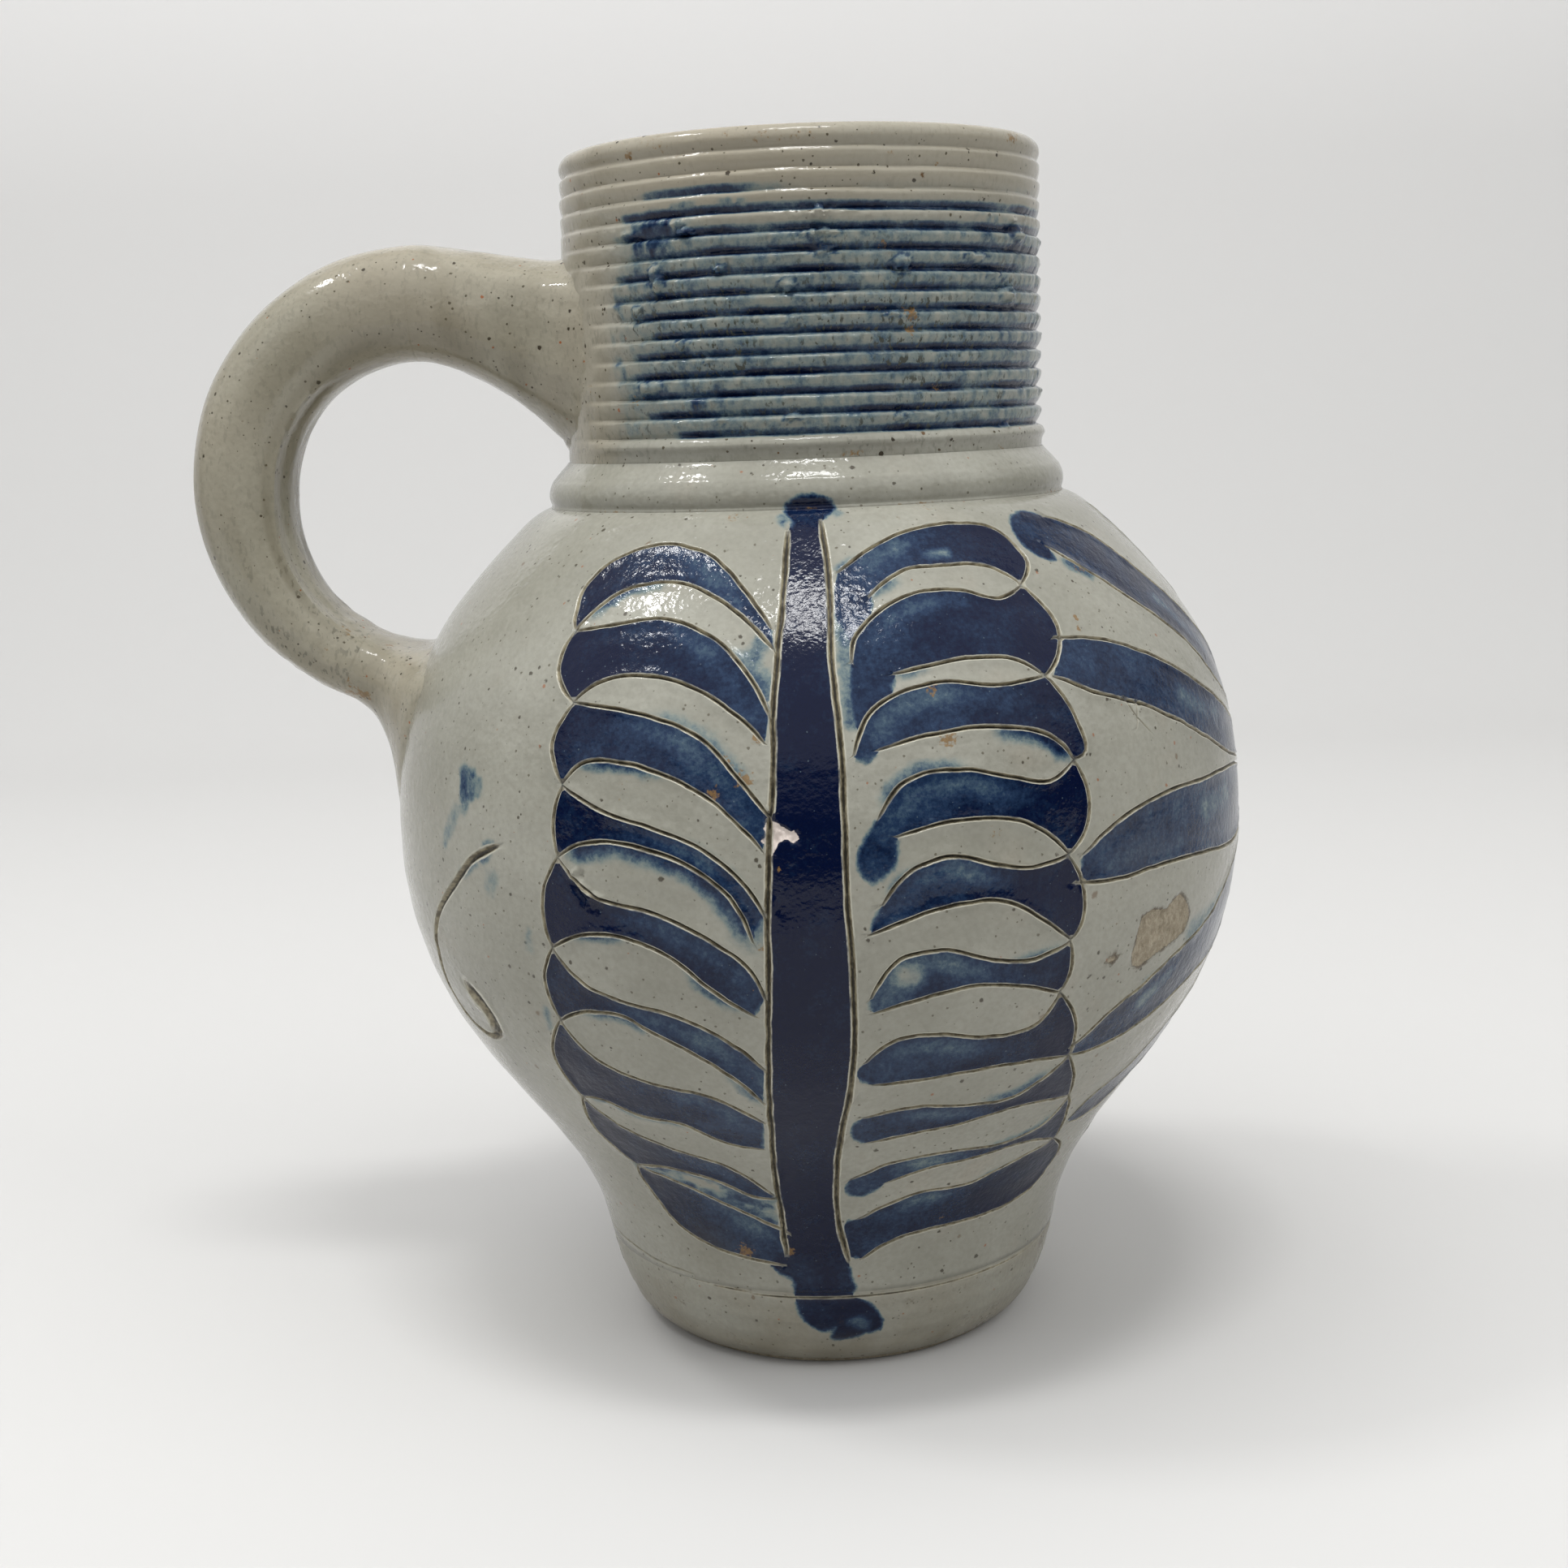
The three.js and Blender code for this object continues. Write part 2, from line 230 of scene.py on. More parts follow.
LEFT_LEAVES = [
    {
        "upper": [
            (-35.5, 129.5), (-37.5, 136.5), (-34, 140), (-25.5, 142), (-17, 140.5), (-9.5, 135),
            (-5.5, 130),
        ],
        "outer": [],
        "lower": [(-35.5, 129.5), (-30.5, 135), (-21, 136.5), (-12.5, 133.5), (-5, 127)],
    },
    {
        "upper": [(-35.5, 129.5), (-29.5, 130.5), (-21, 131.5), (-13, 128.5), (-7.5, 122.5), (-5.5, 118)],
        "outer": [(-35.5, 129.5), (-36, 124.5), (-32, 119.5)],
        "lower": [(-32, 119.5), (-28.5, 122.5), (-21.5, 123.5), (-14.5, 121.5), (-8, 116.5), (-6, 114)],
    },
    {
        "upper": [(-32, 119.5), (-26.5, 119), (-21, 118), (-14, 115), (-9, 109), (-5.5, 103.5)],
        "outer": [(-32, 119.5), (-34, 113), (-32, 107.5)],
        "lower": [(-32, 107.5), (-29, 111), (-22.5, 111), (-16, 108.5), (-10, 103.5), (-6.5, 98.5)],
    },
    {
        "upper": [(-32, 107.5), (-26, 104), (-20, 102), (-14.5, 99.5), (-8.5, 93.5), (-6.5, 89)],
        "outer": [(-32, 107.5), (-33, 101.5), (-32.5, 96.5)],
        "lower": [
            (-32.5, 96.5), (-30, 98.5), (-25, 99.5), (-20, 98.5), (-15.5, 96.5), (-9.5, 90), (-8, 85),
        ],
    },
    {
        "upper": [(-32.5, 96.5), (-27, 91), (-19.5, 89), (-13.5, 85.5), (-8.5, 80.5), (-7, 76)],
        "outer": [(-32.5, 96.5), (-35, 90.5), (-34.5, 82)],
        "lower": [(-34.5, 82), (-29, 85), (-24.5, 85), (-19, 83), (-14, 78), (-8.5, 73)],
    },
    {
        "upper": [(-34.5, 82), (-30, 76.5), (-25.5, 74.5), (-18, 72.5), (-12, 68.5), (-8, 63.5)],
        "outer": [(-34.5, 82), (-36.5, 77), (-36, 69.5)],
        "lower": [(-36, 69.5), (-30, 72), (-26, 72), (-22, 69.5), (-17, 66), (-12, 61.5), (-9, 57)],
    },
    {
        "upper": [(-36, 69.5), (-32, 63), (-25.5, 60), (-16.5, 58), (-9.5, 53)],
        "outer": [(-36, 69.5), (-40, 63), (-39.5, 54)],
        "lower": [(-39.5, 54), (-35, 54.5), (-30, 52.5), (-22.5, 51.5), (-16, 48), (-10.5, 47)],
    },
    {
        "upper": [(-39.5, 54), (-35, 49), (-28, 46), (-18.5, 43), (-11, 36.5)],
        "outer": [(-39.5, 54), (-42.5, 46), (-38.5, 39.5)],
        "lower": [(-38.5, 39.5), (-31, 40.5), (-22.5, 39.5), (-14.5, 36), (-10.5, 35.5)],
    },
    {
        "upper": [(-38.5, 39.5), (-28, 36.5), (-22, 34), (-9, 28)],
        "outer": [],
        "lower": [(-38.5, 39.5), (-39.5, 36.5), (-37, 28), (-29, 24), (-21.5, 22.5), (-12, 21.5)],
    },
]

RIGHT_LEAVES = [
    {
        "upper": [(33.5, 134), (37.5, 137.5), (36, 141.5), (23.5, 143.5), (10, 140.5), (4.5, 137.5)],
        "outer": [],
        "lower": [(33.5, 134), (29, 137), (21.5, 137.5), (14, 137), (9, 134)],
        "end": [(3.6, 134.5), (3.8, 130), (5.5, 127.5), (7.6, 129.5)],
    },
    {
        "upper": [(33.5, 134), (28.5, 132.5), (22.5, 134), (15.5, 134), (10, 132), (5.5, 127.5), (5, 125)],
        "outer": [(33.5, 134), (36, 128), (33, 122.5), (31, 121)],
        "lower": [(31, 121), (27.5, 123.5), (22, 124.5), (16.5, 124), (10.5, 123)],
        "end": [(4.5, 121.5), (4.5, 117.5), (5.5, 115), (8.3, 117.5)],
    },
    {
        "upper": [(31, 121), (22.5, 120.5), (17, 121.5), (11, 120.5), (7, 118), (4.5, 112)],
        "outer": [(31, 121), (34, 114), (34, 109), (32.5, 108.5)],
        "lower": [(32.5, 108.5), (29.5, 112.5), (23, 114.5), (16, 114.5), (7.5, 112.5)],
        "end": [(5, 110.8), (6.4, 111)],
    },
    {
        "upper": [(32.5, 108.5), (29, 106), (24, 107), (17, 109), (10.5, 108), (7, 103)],
        "outer": [(32.5, 108.5), (34, 102.5), (33, 97.5), (30.5, 94.5)],
        "lower": [(30.5, 94.5), (26, 99.5), (20.5, 101.5), (14.5, 101.5), (9, 100)],
        "end": [(5, 99.5), (4.3, 95.5), (6, 93.2), (8.4, 95.5)],
    },
    {
        "upper": [(30.5, 94.5), (25.5, 93.5), (21, 94.5), (15.5, 96.5), (10, 94.5), (7, 90)],
        "outer": [(30.5, 94.5), (32.5, 89), (32, 82.5), (31, 81)],
        "lower": [(31, 81), (27, 85), (21, 89), (15, 89), (5.5, 85.5)],
        "end": [(5.8, 87.5)],
    },
    {
        "upper": [(31, 81), (25, 79), (19, 80.5), (13.5, 82.5), (9, 81.5), (5.5, 75.5)],
        "outer": [(31, 81), (31.5, 76.5), (30.5, 72.5)],
        "lower": [(30.5, 72.5), (25.5, 74.5), (19, 76), (12.5, 75), (6, 73)],
        "end": [(5, 74)],
    },
    {
        "upper": [(30.5, 72.5), (27, 67.5), (21, 67), (14, 68.5), (8.5, 68), (5, 64.5)],
        "outer": [(30.5, 72.5), (34.5, 66), (35.5, 60)],
        "lower": [(35.5, 60), (24, 61), (14.5, 60.5), (6, 60)],
        "end": [(3.9, 63), (4.4, 61)],
    },
    {
        "upper": [(35.5, 60), (31.5, 56), (28, 54), (20.5, 54), (11, 55), (5, 53.5)],
        "outer": [(35.5, 60), (39, 55), (41, 50.5)],
        "lower": [(41, 50.5), (29.5, 51.5), (20, 50), (11, 49), (6, 48)],
        "end": [(3.5, 52), (3.3, 50), (4.2, 48.3)],
    },
    {
        "upper": [(41, 50.5), (39, 45.5), (32.5, 43.5), (21, 44), (10, 43), (3.5, 39.8)],
        "outer": [(41, 50.5), (44.5, 45.5), (46.5, 40)],
        "lower": [(46.5, 40), (37.5, 42), (26.5, 41.5), (16, 40.5), (10, 38.5)],
        "end": [(2.6, 38.5), (2.8, 36.8), (5, 35.8), (8, 36.8)],
    },
    {
        "upper": [(46.5, 40), (39.5, 38.5), (27, 35.5), (17, 35.5), (5.5, 31)],
        "outer": [],
        "lower": [(46.5, 40), (53, 35), (51, 30), (43.5, 28), (26.5, 27), (12.5, 25.5), (6.5, 22.5)],
        "end": [(3, 30.5), (2.4, 27), (3, 23.5)],
    },
]

STEM_LEFT = [
    (-3.5, 143.5), (-4, 135), (-4.5, 126.5), (-5, 118), (-5, 110.5), (-5.5, 103), (-6, 93),
    (-6.5, 78), (-8.5, 53), (-10, 38), (-10.5, 23.5),
]
STEM_RIGHT = [
    (2.5, 145), (3, 136.5), (2.5, 125.5), (3, 114), (3, 103), (3, 92.5), (3.5, 77.5),
    (3.5, 67), (3, 59), (2, 51.5), (1, 38.5), (1.5, 29.5), (3.5, 22),
]
# The brush began in a round cap on the cordon and ended in a drop that ran down over the foot
STEM_CAP = [
    (-3.2, 142.5), (-2.9, 145), (-3.8, 146.3), (-4.5, 147.6), (-4.4, 148.7), (-2.7, 149.8), (0, 150.3),
    (2.9, 150), (5, 149), (5.7, 147.9), (4.6, 146.8), (3.3, 145.5), (2.3, 144.6), (2.4, 142.5),
]
STEM_DROP = [
    (-10.5, 25), (-15, 22), (-12.5, 19.5), (-9.7, 18.7), (-9.5, 15.5), (-9, 12), (-6.5, 9.5), (-2.5, 8),
    (0, 8.9), (-1.5, 6.6), (2.5, 6.4), (7.5, 7.4), (11.3, 8.2), (11.5, 10), (10, 12), (7, 14.3),
    (4.2, 15.2), (5, 17), (4, 19), (3.6, 25),
]

# Long petals stand round a rosette to the right of the spray
ROSETTE_DEGREES = 104
ROSETTE_HEIGHT = 96
ROSETTE_RINGS = (6, 13)
PETAL_ROOT = 15
PETALS = [
    {
        "upper": [(50.5, 143.3), (59.5, 140.2), (65.5, 134.3), (72.5, 127.3), (81, 119), (92, 107)],
        "lower": [(44, 139), (51, 133.5), (57.5, 128.3), (64.5, 122.8), (72, 115), (90, 105)],
        "tip": [(44, 137), (40.5, 137.8), (38.8, 140.5), (40, 143.4), (44, 144.6)],
    },
    {
        "upper": [
            (34.6, 126.2), (44, 124.8), (50, 122.5), (56.5, 119.3), (64.5, 114.7), (73, 109.8),
            (89, 102.5),
        ],
        "lower": [
            (32.2, 120.8), (38.5, 117.5), (45.5, 115), (51.5, 112), (59, 108), (67, 103.7),
            (88.5, 99.5),
        ],
        "tip": [(33.8, 123.5)],
    },
    {
        "upper": [
            (32.6, 94.2), (36, 96.8), (41.5, 99.5), (48, 100.9), (56.5, 101.1), (69, 100.8), (88.5, 97),
        ],
        "lower": [(31.6, 90), (35.5, 89.4), (47.5, 89.8), (56, 89.3), (69, 88), (89, 93)],
        "tip": [(32.2, 92)],
    },
    {
        "upper": [
            (35, 61.5), (38, 64.5), (41, 67.3), (44.5, 69.2), (53.5, 74), (60.5, 77), (72, 84),
            (90, 90),
        ],
        "lower": [
            (35, 60.2), (39.5, 60), (45, 60.8), (54, 63.8), (61, 66.6), (73, 70), (80, 77), (91.5, 87),
        ],
        "tip": [],
    },
    {
        "upper": [(46.5, 44), (49, 48), (55, 51), (61, 55.5), (68, 61), (76, 67), (84, 76), (94, 84.5)],
        "lower": [(48, 43), (54.5, 43.5), (62, 47), (70, 51), (80, 60), (90, 72), (96.5, 82.5)],
        "tip": [],
    },
]
# Directions of the petals that the photo's view doesn't reach, from the right, upwards
FAR_PETALS = (0, 22.5, 45, 67.5, 90, 113, 248, 270, 292.5, 315, 337.5)
PETAL_LONGEST = 70
PETAL_HALF_WIDTH = 4.6
PETAL_LOWEST = 30
PETAL_HIGHEST = 144

CURL = [
    (-42.5, 97), (-47, 94.5), (-52.5, 89), (-56, 85.5), (-60.5, 80), (-62.5, 75), (-64, 69.5),
    (-63, 65), (-60, 62.5), (-55.5, 61.8), (-52.4, 62.6),
]
CURL_END = [(-53.8, 62.8), (-52.5, 64.2), (-52.1, 66.2), (-52.6, 68), (-53.9, 69.6), (-55.6, 71.3)]
SCRATCHES = [
    [(-75, 18.5), (-60, 18), (-52, 17.6), (-44, 17.3), (-36, 17)],
    [(43, 116.5), (44, 114), (46.5, 110.5)],
    [(45.3, 115.5), (44.5, 113), (44, 111.5)],
]

# The spray on the far side mirrors the near one about the rosette
FAR_SPRAY = 2 * ROSETTE_DEGREES

# Washes that bled over a cut line, out of a leaf: leaf, line, from, to, reach, strength. The places
# along a line are shares of its way from the tip to the stem.
LEFT_WASHES = [
    (1, "lower", 0.12, 0.42, 1.7, 0.75), (2, "upper", 0.7, 0.97, 3.0, 0.6),
    (3, "upper", 0.42, 0.85, 2.4, 0.33), (3, "lower", 0.2, 0.5, 1.7, 0.8),
    (4, "lower", 0.1, 0.97, 3.2, 0.85), (4, "upper", 0.5, 0.8, 1.2, 0.2),
    (5, "lower", 0.15, 0.4, 1.5, 0.6), (5, "lower", 0.74, 0.93, 1.9, 0.6),
    (6, "lower", 0.14, 0.46, 1.7, 0.62), (6, "lower", 0.82, 0.98, 1.7, 0.5),
    (7, "lower", 0.1, 0.62, 1.4, 0.42), (8, "lower", 0, 1, 1.8, 0.6), (9, "upper", 0.46, 1, 3.4, 0.62),
    (9, "upper", 0, 0.3, 1.2, 0.5),
]
RIGHT_WASHES = [
    (1, "lower", 0.8, 1, 1.8, 0.45), (1, "upper", 0.9, 1, 1.4, 0.5), (2, "lower", 0.85, 1, 1.6, 0.5),
    (3, "lower", 0.05, 0.5, 2.7, 0.88), (4, "upper", 0.62, 0.93, 2.3, 0.6),
    (5, "upper", 0.76, 0.95, 1.1, 0.35), (6, "upper", 0.07, 0.24, 1.4, 0.55),
    (8, "upper", 0.12, 0.52, 2.4, 0.5), (9, "upper", 0.14, 0.46, 1.5, 0.5),
    (10, "upper", 0.28, 0.5, 0.9, 0.35),
]

# Dabs of thin cobalt: from, to, radius, strength
DABS = [
    ((-49.8, 107.6), (-49.4, 103.8), 1.4, 0.62), ((-48, 107), (-47.8, 104.4), 1.3, 0.5),
    ((-46.6, 106.4), (-46.4, 104.8), 1.1, 0.36), ((-49, 103.4), (-49.4, 101.6), 1.2, 0.34),
    ((-51, 101.5), (-53.4, 97.5), 1.5, 0.24), ((-54, 97), (-54.2, 95.6), 1.2, 0.3),
    ((-44, 96.8), (-45.4, 94.6), 1.2, 0.5), ((-47, 93.6), (-50, 91.6), 1.0, 0.4),
    ((-43.6, 92), (-44.4, 90), 1.7, 0.26), ((4.4, 133), (4.6, 117), 1.7, 0.5),
    ((-4.4, 146.6), (-4.6, 145), 1.0, 0.4), ((5.2, 147.4), (5.8, 146.4), 1.2, 0.3),
    ((-35, 37.5), (-27.5, 36.8), 1.3, 0.72), ((-19.5, 35.7), (-13, 33.9), 1.4, 0.75),
    ((-28, 35.2), (-18, 33.6), 0.8, 0.6), ((46, 136.2), (49.5, 134.6), 1.3, 0.6),
    ((56, 76), (72, 80), 3.0, 0.3), ((47, 69), (56, 72.5), 2.2, 0.42),
    ((-38, 71), (-38.5, 68), 1.0, 0.3), ((-38, 84), (-38.4, 81), 0.9, 0.22),
    ((-6.6, 128.4), (-7.6, 125), 1.5, 0.36),
]
# Places where the paint ran thin: from, to, radius, how much is gone
THIN = [
    ((9.3, 79), (10.6, 78.2), 1.9, 0.75), ((-27, 36.6), (-21.5, 35), 1.3, 0.9),
    ((64, 129), (74, 119), 1.3, 0.5), ((58, 96), (66, 97), 2.2, 0.35), ((56, 115), (66, 110), 1.8, 0.3),
    ((47, 66.5), (52, 69.5), 1.6, 0.5), ((5, 10), (7, 9.2), 1.3, 0.55),
    ((19.5, 139), (23, 139.6), 0.8, 0.6),
]

# Brown stains of iron in the clay: place, radius, strength
STAINS = [
    ((-8.5, 109), 1.7, 0.9), ((-12, 107), 1.3, 0.95), ((-10.5, 111.5), 1.2, 0.8),
    ((-23.5, 107), 3, 0.42), ((-7, 114.6), 1.2, 0.75), ((40.3, 128.5), 0.75, 1),
    ((39.7, 126.9), 0.6, 1), ((47.5, 135), 1.8, 0.6), ((15, 120.5), 1.5, 0.75), ((16, 113.5), 2, 0.8),
    ((21, 99.5), 2.6, 0.42), ((-7, 84), 0.9, 0.9), ((-8.5, 77.5), 0.8, 0.7), ((30, 94.5), 1.2, 0.35),
    ((24, 28.5), 1.6, 0.45), ((-20, 23.5), 2.2, 0.75), ((44, 100), 2, 0.3), ((-14, 146.5), 3, 0.5),
    ((24, 147), 3, 0.5), ((20, 36.5), 1.0, 0.6), ((-9.2, 24), 1.2, 0.8), ((43, 91), 1.2, 0.4),
    ((-4.9, 96), 0.8, 0.8), ((-10, 62), 1, 0.5),
]

# Bare rough clay where something stuck in the kiln, a small star-shaped scar, and a white chip
KILN_SCAR = [
    (42, 76), (42.5, 79.5), (43, 82), (45, 82.7), (48, 82), (49.5, 83.2), (51, 83.8), (53, 82),
    (54, 79.5), (53.5, 77), (51.5, 76), (49, 75.3), (46.5, 74.4), (44, 73.4), (42.3, 74),
]
STAR_SCAR = [
    (37, 75.2), (38.2, 74.8), (39, 75.8), (40.3, 77), (39, 77), (38.8, 78.5), (37.9, 77.4),
    (36.6, 78.4), (36.9, 76.8), (35.8, 76.6),
]
CHIP = [
    (-6.3, 102.1), (-5.7, 103.1), (-4.7, 102.8), (-4.2, 102.2), (-3.8, 102), (-3.2, 101.4),
    (-2.8, 101.6), (-2.1, 100.4), (-2.9, 99.7), (-3.6, 100.3), (-4.4, 100), (-4.8, 99.3), (-5.3, 98),
    (-6.1, 97.6), (-6, 99.6), (-6.7, 100), (-5.8, 100.9),
]
# Soft brown smears: place, radius, strength
SMEARS = [
    ((-72, 118), 7, 0.3), ((-68, 104), 6, 0.16), ((-84, 92), 12, 0.3), ((-62, 134), 6, 0.12),
    ((42, 92), 8, 0.1), ((-30, 22), 6, 0.2), ((56, 58), 9, 0.15),
]
# Flakes of clay that the tool tore up beside a line: place, turn, half length, half width, height
FLAKES = [
    ((-30, 94.2), 70, 1.1, 0.5, 0.6), ((-28.9, 92.2), -48, 1.9, 0.5, 0.7), ((-27, 90.9), -20, 1.1, 0.5, 0.6),
    ((3.2, 57.5), 80, 1.4, 0.5, 0.5), ((2.2, 49), 75, 1.5, 0.45, 0.45), ((-9.4, 41), 80, 1.6, 0.45, 0.4),
    ((-5.6, 90), 80, 1.5, 0.45, 0.4), ((9, 50), 10, 1.4, 0.45, 0.35),
]
# Finer corners lie within these distances of the places where small marks need them
FINE_SPOTS = [
    ((-5, 101), 3.4, 0.36), ((38, 76.6), 3.4, 0.45), ((48, 78.5), 9.5, 0.62), ((40, 127.8), 2.4, 0.5),
    ((-29, 92.8), 3, 0.45), ((-49, 105), 3.5, 0.6),
]


# The lines on the unrolled belly: first number along the girth, second along the outline

def unroll(points):
    degrees, heights = np.array(points, float).T
    return np.stack([np.radians(degrees) * ROLL, arc_at(heights)], axis=1)


def true_scale(flat):
    """How wide the belly really is at each unrolled place, against the roll."""
    return belly_radius(height_at(flat[:, 1])) / ROLL


def line_through(points, steps=14):
    """A smooth unrolled line through places given by degrees and height."""
    knots = unroll(points)
    if len(knots) == 2:
        return knots
    gaps = np.linalg.norm(np.diff(knots, axis=0), axis=1)[:, None]
    slopes = np.diff(knots, axis=0) / gaps
    middle = (slopes[:-1] * gaps[1:] + slopes[1:] * gaps[:-1]) / (gaps[1:] + gaps[:-1])
    first = 1.5 * slopes[0] - 0.5 * middle[0]
    final = 1.5 * slopes[-1] - 0.5 * middle[-1]
    ways = np.vstack([first, middle, final])
    share = np.linspace(0, 1, steps, endpoint=False)[:, None]
    parts = []
    for i, gap in enumerate(gaps):
        parts.append(
            (2 * share**3 - 3 * share**2 + 1) * knots[i]
            + (share**3 - 2 * share**2 + share) * gap * ways[i]
            + (3 * share**2 - 2 * share**3) * knots[i + 1]
            + (share**3 - share**2) * gap * ways[i + 1]
        )
    return np.vstack([*parts, knots[-1:]])


def resample(line, step):
    """The unrolled line again, with points that lie evenly apart on the real belly."""
    scale = true_scale(line)
    real = np.diff(line, axis=0)
    real[:, 0] *= (scale[1:] + scale[:-1]) / 2
    far = np.concatenate([[0], np.cumsum(np.linalg.norm(real, axis=1))])
    count = max(2, round(far[-1] / step) + 1)
    wanted = np.linspace(0, far[-1], count)
    return np.stack([np.interp(wanted, far, line[:, i]) for i in (0, 1)], axis=1), wanted


def sideways(line):
    """The direction across an unrolled line at each point, one real millimetre long."""
    scale = true_scale(line)
    way = np.gradient(line, axis=0)
    way[:, 0] *= scale
    way /= np.linalg.norm(way, axis=1)[:, None]
    return np.stack([-way[:, 1] / scale, way[:, 0]], axis=1)


def wobble(line, seed, size=0.13):
    """The small shake of the hand across a line."""
    places = np.zeros((len(line), 3))
    places[:, 0] = np.arange(len(line))
    return line + sideways(line) * (size * smooth_noise(places, 6, seed))[:, None]


def mirrored(points):
    """The same places on the far side of the rosette."""
    return [(FAR_SPRAY - degrees, height) for degrees, height in points]


def petal_by_direction(direction):
    """Outline of a petal of the rosette that runs in a direction from the rosette's centre."""
    turn = math.radians(direction)
    rise = math.sin(turn)
    longest = PETAL_LONGEST
    if rise > 0.1:
        longest = min(longest, (PETAL_HIGHEST - ROSETTE_HEIGHT) / rise)
    if rise < -0.1:
        longest = min(longest, (PETAL_LOWEST - ROSETTE_HEIGHT) / rise)
    petal = {"tip": []}
    for side, name in ((1, "upper"), (-1, "lower")):
        points = []
        for share in (1, 0.88, 0.7, 0.45, 0.2, 0):
            reach = PETAL_ROOT + (longest - PETAL_ROOT) * share
            half = side * PETAL_HALF_WIDTH * math.sin(math.pi * (0.12 + 0.88 * share)) ** 0.8
            across = reach * math.cos(turn) - half * math.sin(turn)
            height = ROSETTE_HEIGHT + reach * rise + half * math.cos(turn)
            degrees = ROSETTE_DEGREES + math.degrees(across / float(belly_radius(height)))
            points.append((degrees, height))
        petal[name] = points
    return petal


def ring_round_rosette(radius, steps=24):
    points = []
    for i in range(steps + 1):
        turn = 2 * math.pi * i / steps
        across = math.degrees(radius * math.cos(turn) / BELLY_RADIUS)
        points.append((ROSETTE_DEGREES + across, ROSETTE_HEIGHT + radius * math.sin(turn)))
    return points


LEAVES = LEFT_LEAVES + RIGHT_LEAVES
ALL_LEAVES = LEAVES + [{part: mirrored(points) for part, points in leaf.items()} for leaf in LEAVES]
ALL_PETALS = PETALS + [petal_by_direction(direction) for direction in FAR_PETALS]


# Half width and depth of the incised lines
LEAF_CUT = (0.29, 0.52)
STEM_CUT = (0.43, 0.6)
PETAL_CUT = (0.3, 0.45)
RING_CUT = (0.34, 0.45)
CURL_CUT = (0.62, 0.7)
CURL_END_CUT = (1.8, 0.7)
SCRATCH_CUT = (0.2, 0.2)


def engraved_lines():
    """Every incised line: its places, half width and depth."""
    lines = []
    for leaf in ALL_LEAVES:
        lines += [(leaf[part], *LEAF_CUT) for part in ("upper", "outer", "lower") if leaf[part]]
    for stem in (STEM_LEFT, STEM_RIGHT):
        lines += [(stem, *STEM_CUT), (mirrored(stem), *STEM_CUT)]
    for petal in ALL_PETALS:
        lines += [(petal[part], *PETAL_CUT) for part in ("upper", "lower")]
    lines += [(ring_round_rosette(radius), *RING_CUT) for radius in ROSETTE_RINGS]
    lines += [(CURL, *CURL_CUT), (CURL_END, *CURL_END_CUT)]
    lines += [(scratch, *SCRATCH_CUT) for scratch in SCRATCHES]
    return lines


def stroke_samples(step):
    """All the lines cut into short steps, with their half width and depth there. A stroke starts
    and ends shallow."""
    strokes = []
    for number, (points, half_width, depth) in enumerate(engraved_lines()):
        even, _ = resample(line_through(points), 0.4)
        line, far = resample(wobble(even, number), step)
        full = np.clip(np.minimum(far, far[-1] - far) / 3.5 + 0.15, 0, 1) ** 0.6
        along = np.stack([far, 0 * far + 9.7 * number, 0 * far], axis=1)
        full = full * (1 + 0.3 * smooth_noise(along, 3, seed=50))
        strokes.append((line, half_width * (0.5 + 0.5 * full), depth * full))
    return strokes


# Where the cobalt lies. Its edges are kept as a depth in millimetres, which is even between the
# corners of a mesh, so that the glaze can draw them finer than the mesh is.

EDGE = 2


def leaf_outline(leaf):
    upper = line_through(leaf["upper"])
    lower = line_through(leaf["lower"])
    parts = [upper]
    if leaf.get("end"):
        parts.append(line_through([leaf["upper"][-1], *leaf["end"], leaf["lower"][-1]], steps=6))
    parts.append(lower[::-1])
    if leaf["outer"]:
        parts.append(line_through(leaf["outer"])[::-1])
    return np.vstack(parts)


def petal_outline(petal):
    parts = [line_through(petal["upper"])[::-1]]
    if petal["tip"]:
        parts.append(line_through([petal["upper"][0], *petal["tip"][::-1], petal["lower"][0]], steps=6))
    parts.append(line_through(petal["lower"]))
    return np.vstack(parts)


def signed_depth(outline, flat):
    """How deep each unrolled place lies inside an outline, in real millimetres."""
    scale = np.array([true_scale(outline).mean(), 1.0])
    corner = outline * scale
    edge = np.roll(corner, -1, axis=0) - corner
    size = (edge**2).sum(axis=1)
    corner, edge, size = corner[size > 1e-9], edge[size > 1e-9], size[size > 1e-9]
    off = (flat * scale)[:, None, :] - corner[None]
    share = np.clip((off * edge[None]).sum(axis=2) / size, 0, 1)
    nearest = np.linalg.norm(off - share[..., None] * edge[None], axis=2).min(axis=1)
    low_side = off[..., 1] < 0
    crosses = low_side != (off[..., 1] - edge[None, :, 1] < 0)
    run = np.where(np.abs(edge[:, 1]) < 1e-9, 1e-9, edge[:, 1])
    left_of = off[..., 0] < off[..., 1] / run[None] * edge[None, :, 0]
    odd = (crosses & left_of).sum(axis=1) % 2
    return np.where(odd == 1, nearest, -nearest)


def near_outline(outline, flat, margin):
    low = outline.min(axis=0) - margin * 1.6
    high = outline.max(axis=0) + margin * 1.6
    return np.nonzero(((flat > low) & (flat < high)).all(axis=1))[0]


def nearest_on_line(line, flat):
    """Real distance from unrolled places to an unrolled line's points, and the nearest's share."""
    scale = np.array([true_scale(line).mean(), 1.0])
    off = np.linalg.norm((flat * scale)[:, None, :] - (line * scale)[None], axis=2)
    return off.min(axis=1), off.argmin(axis=1) / (len(line) - 1)


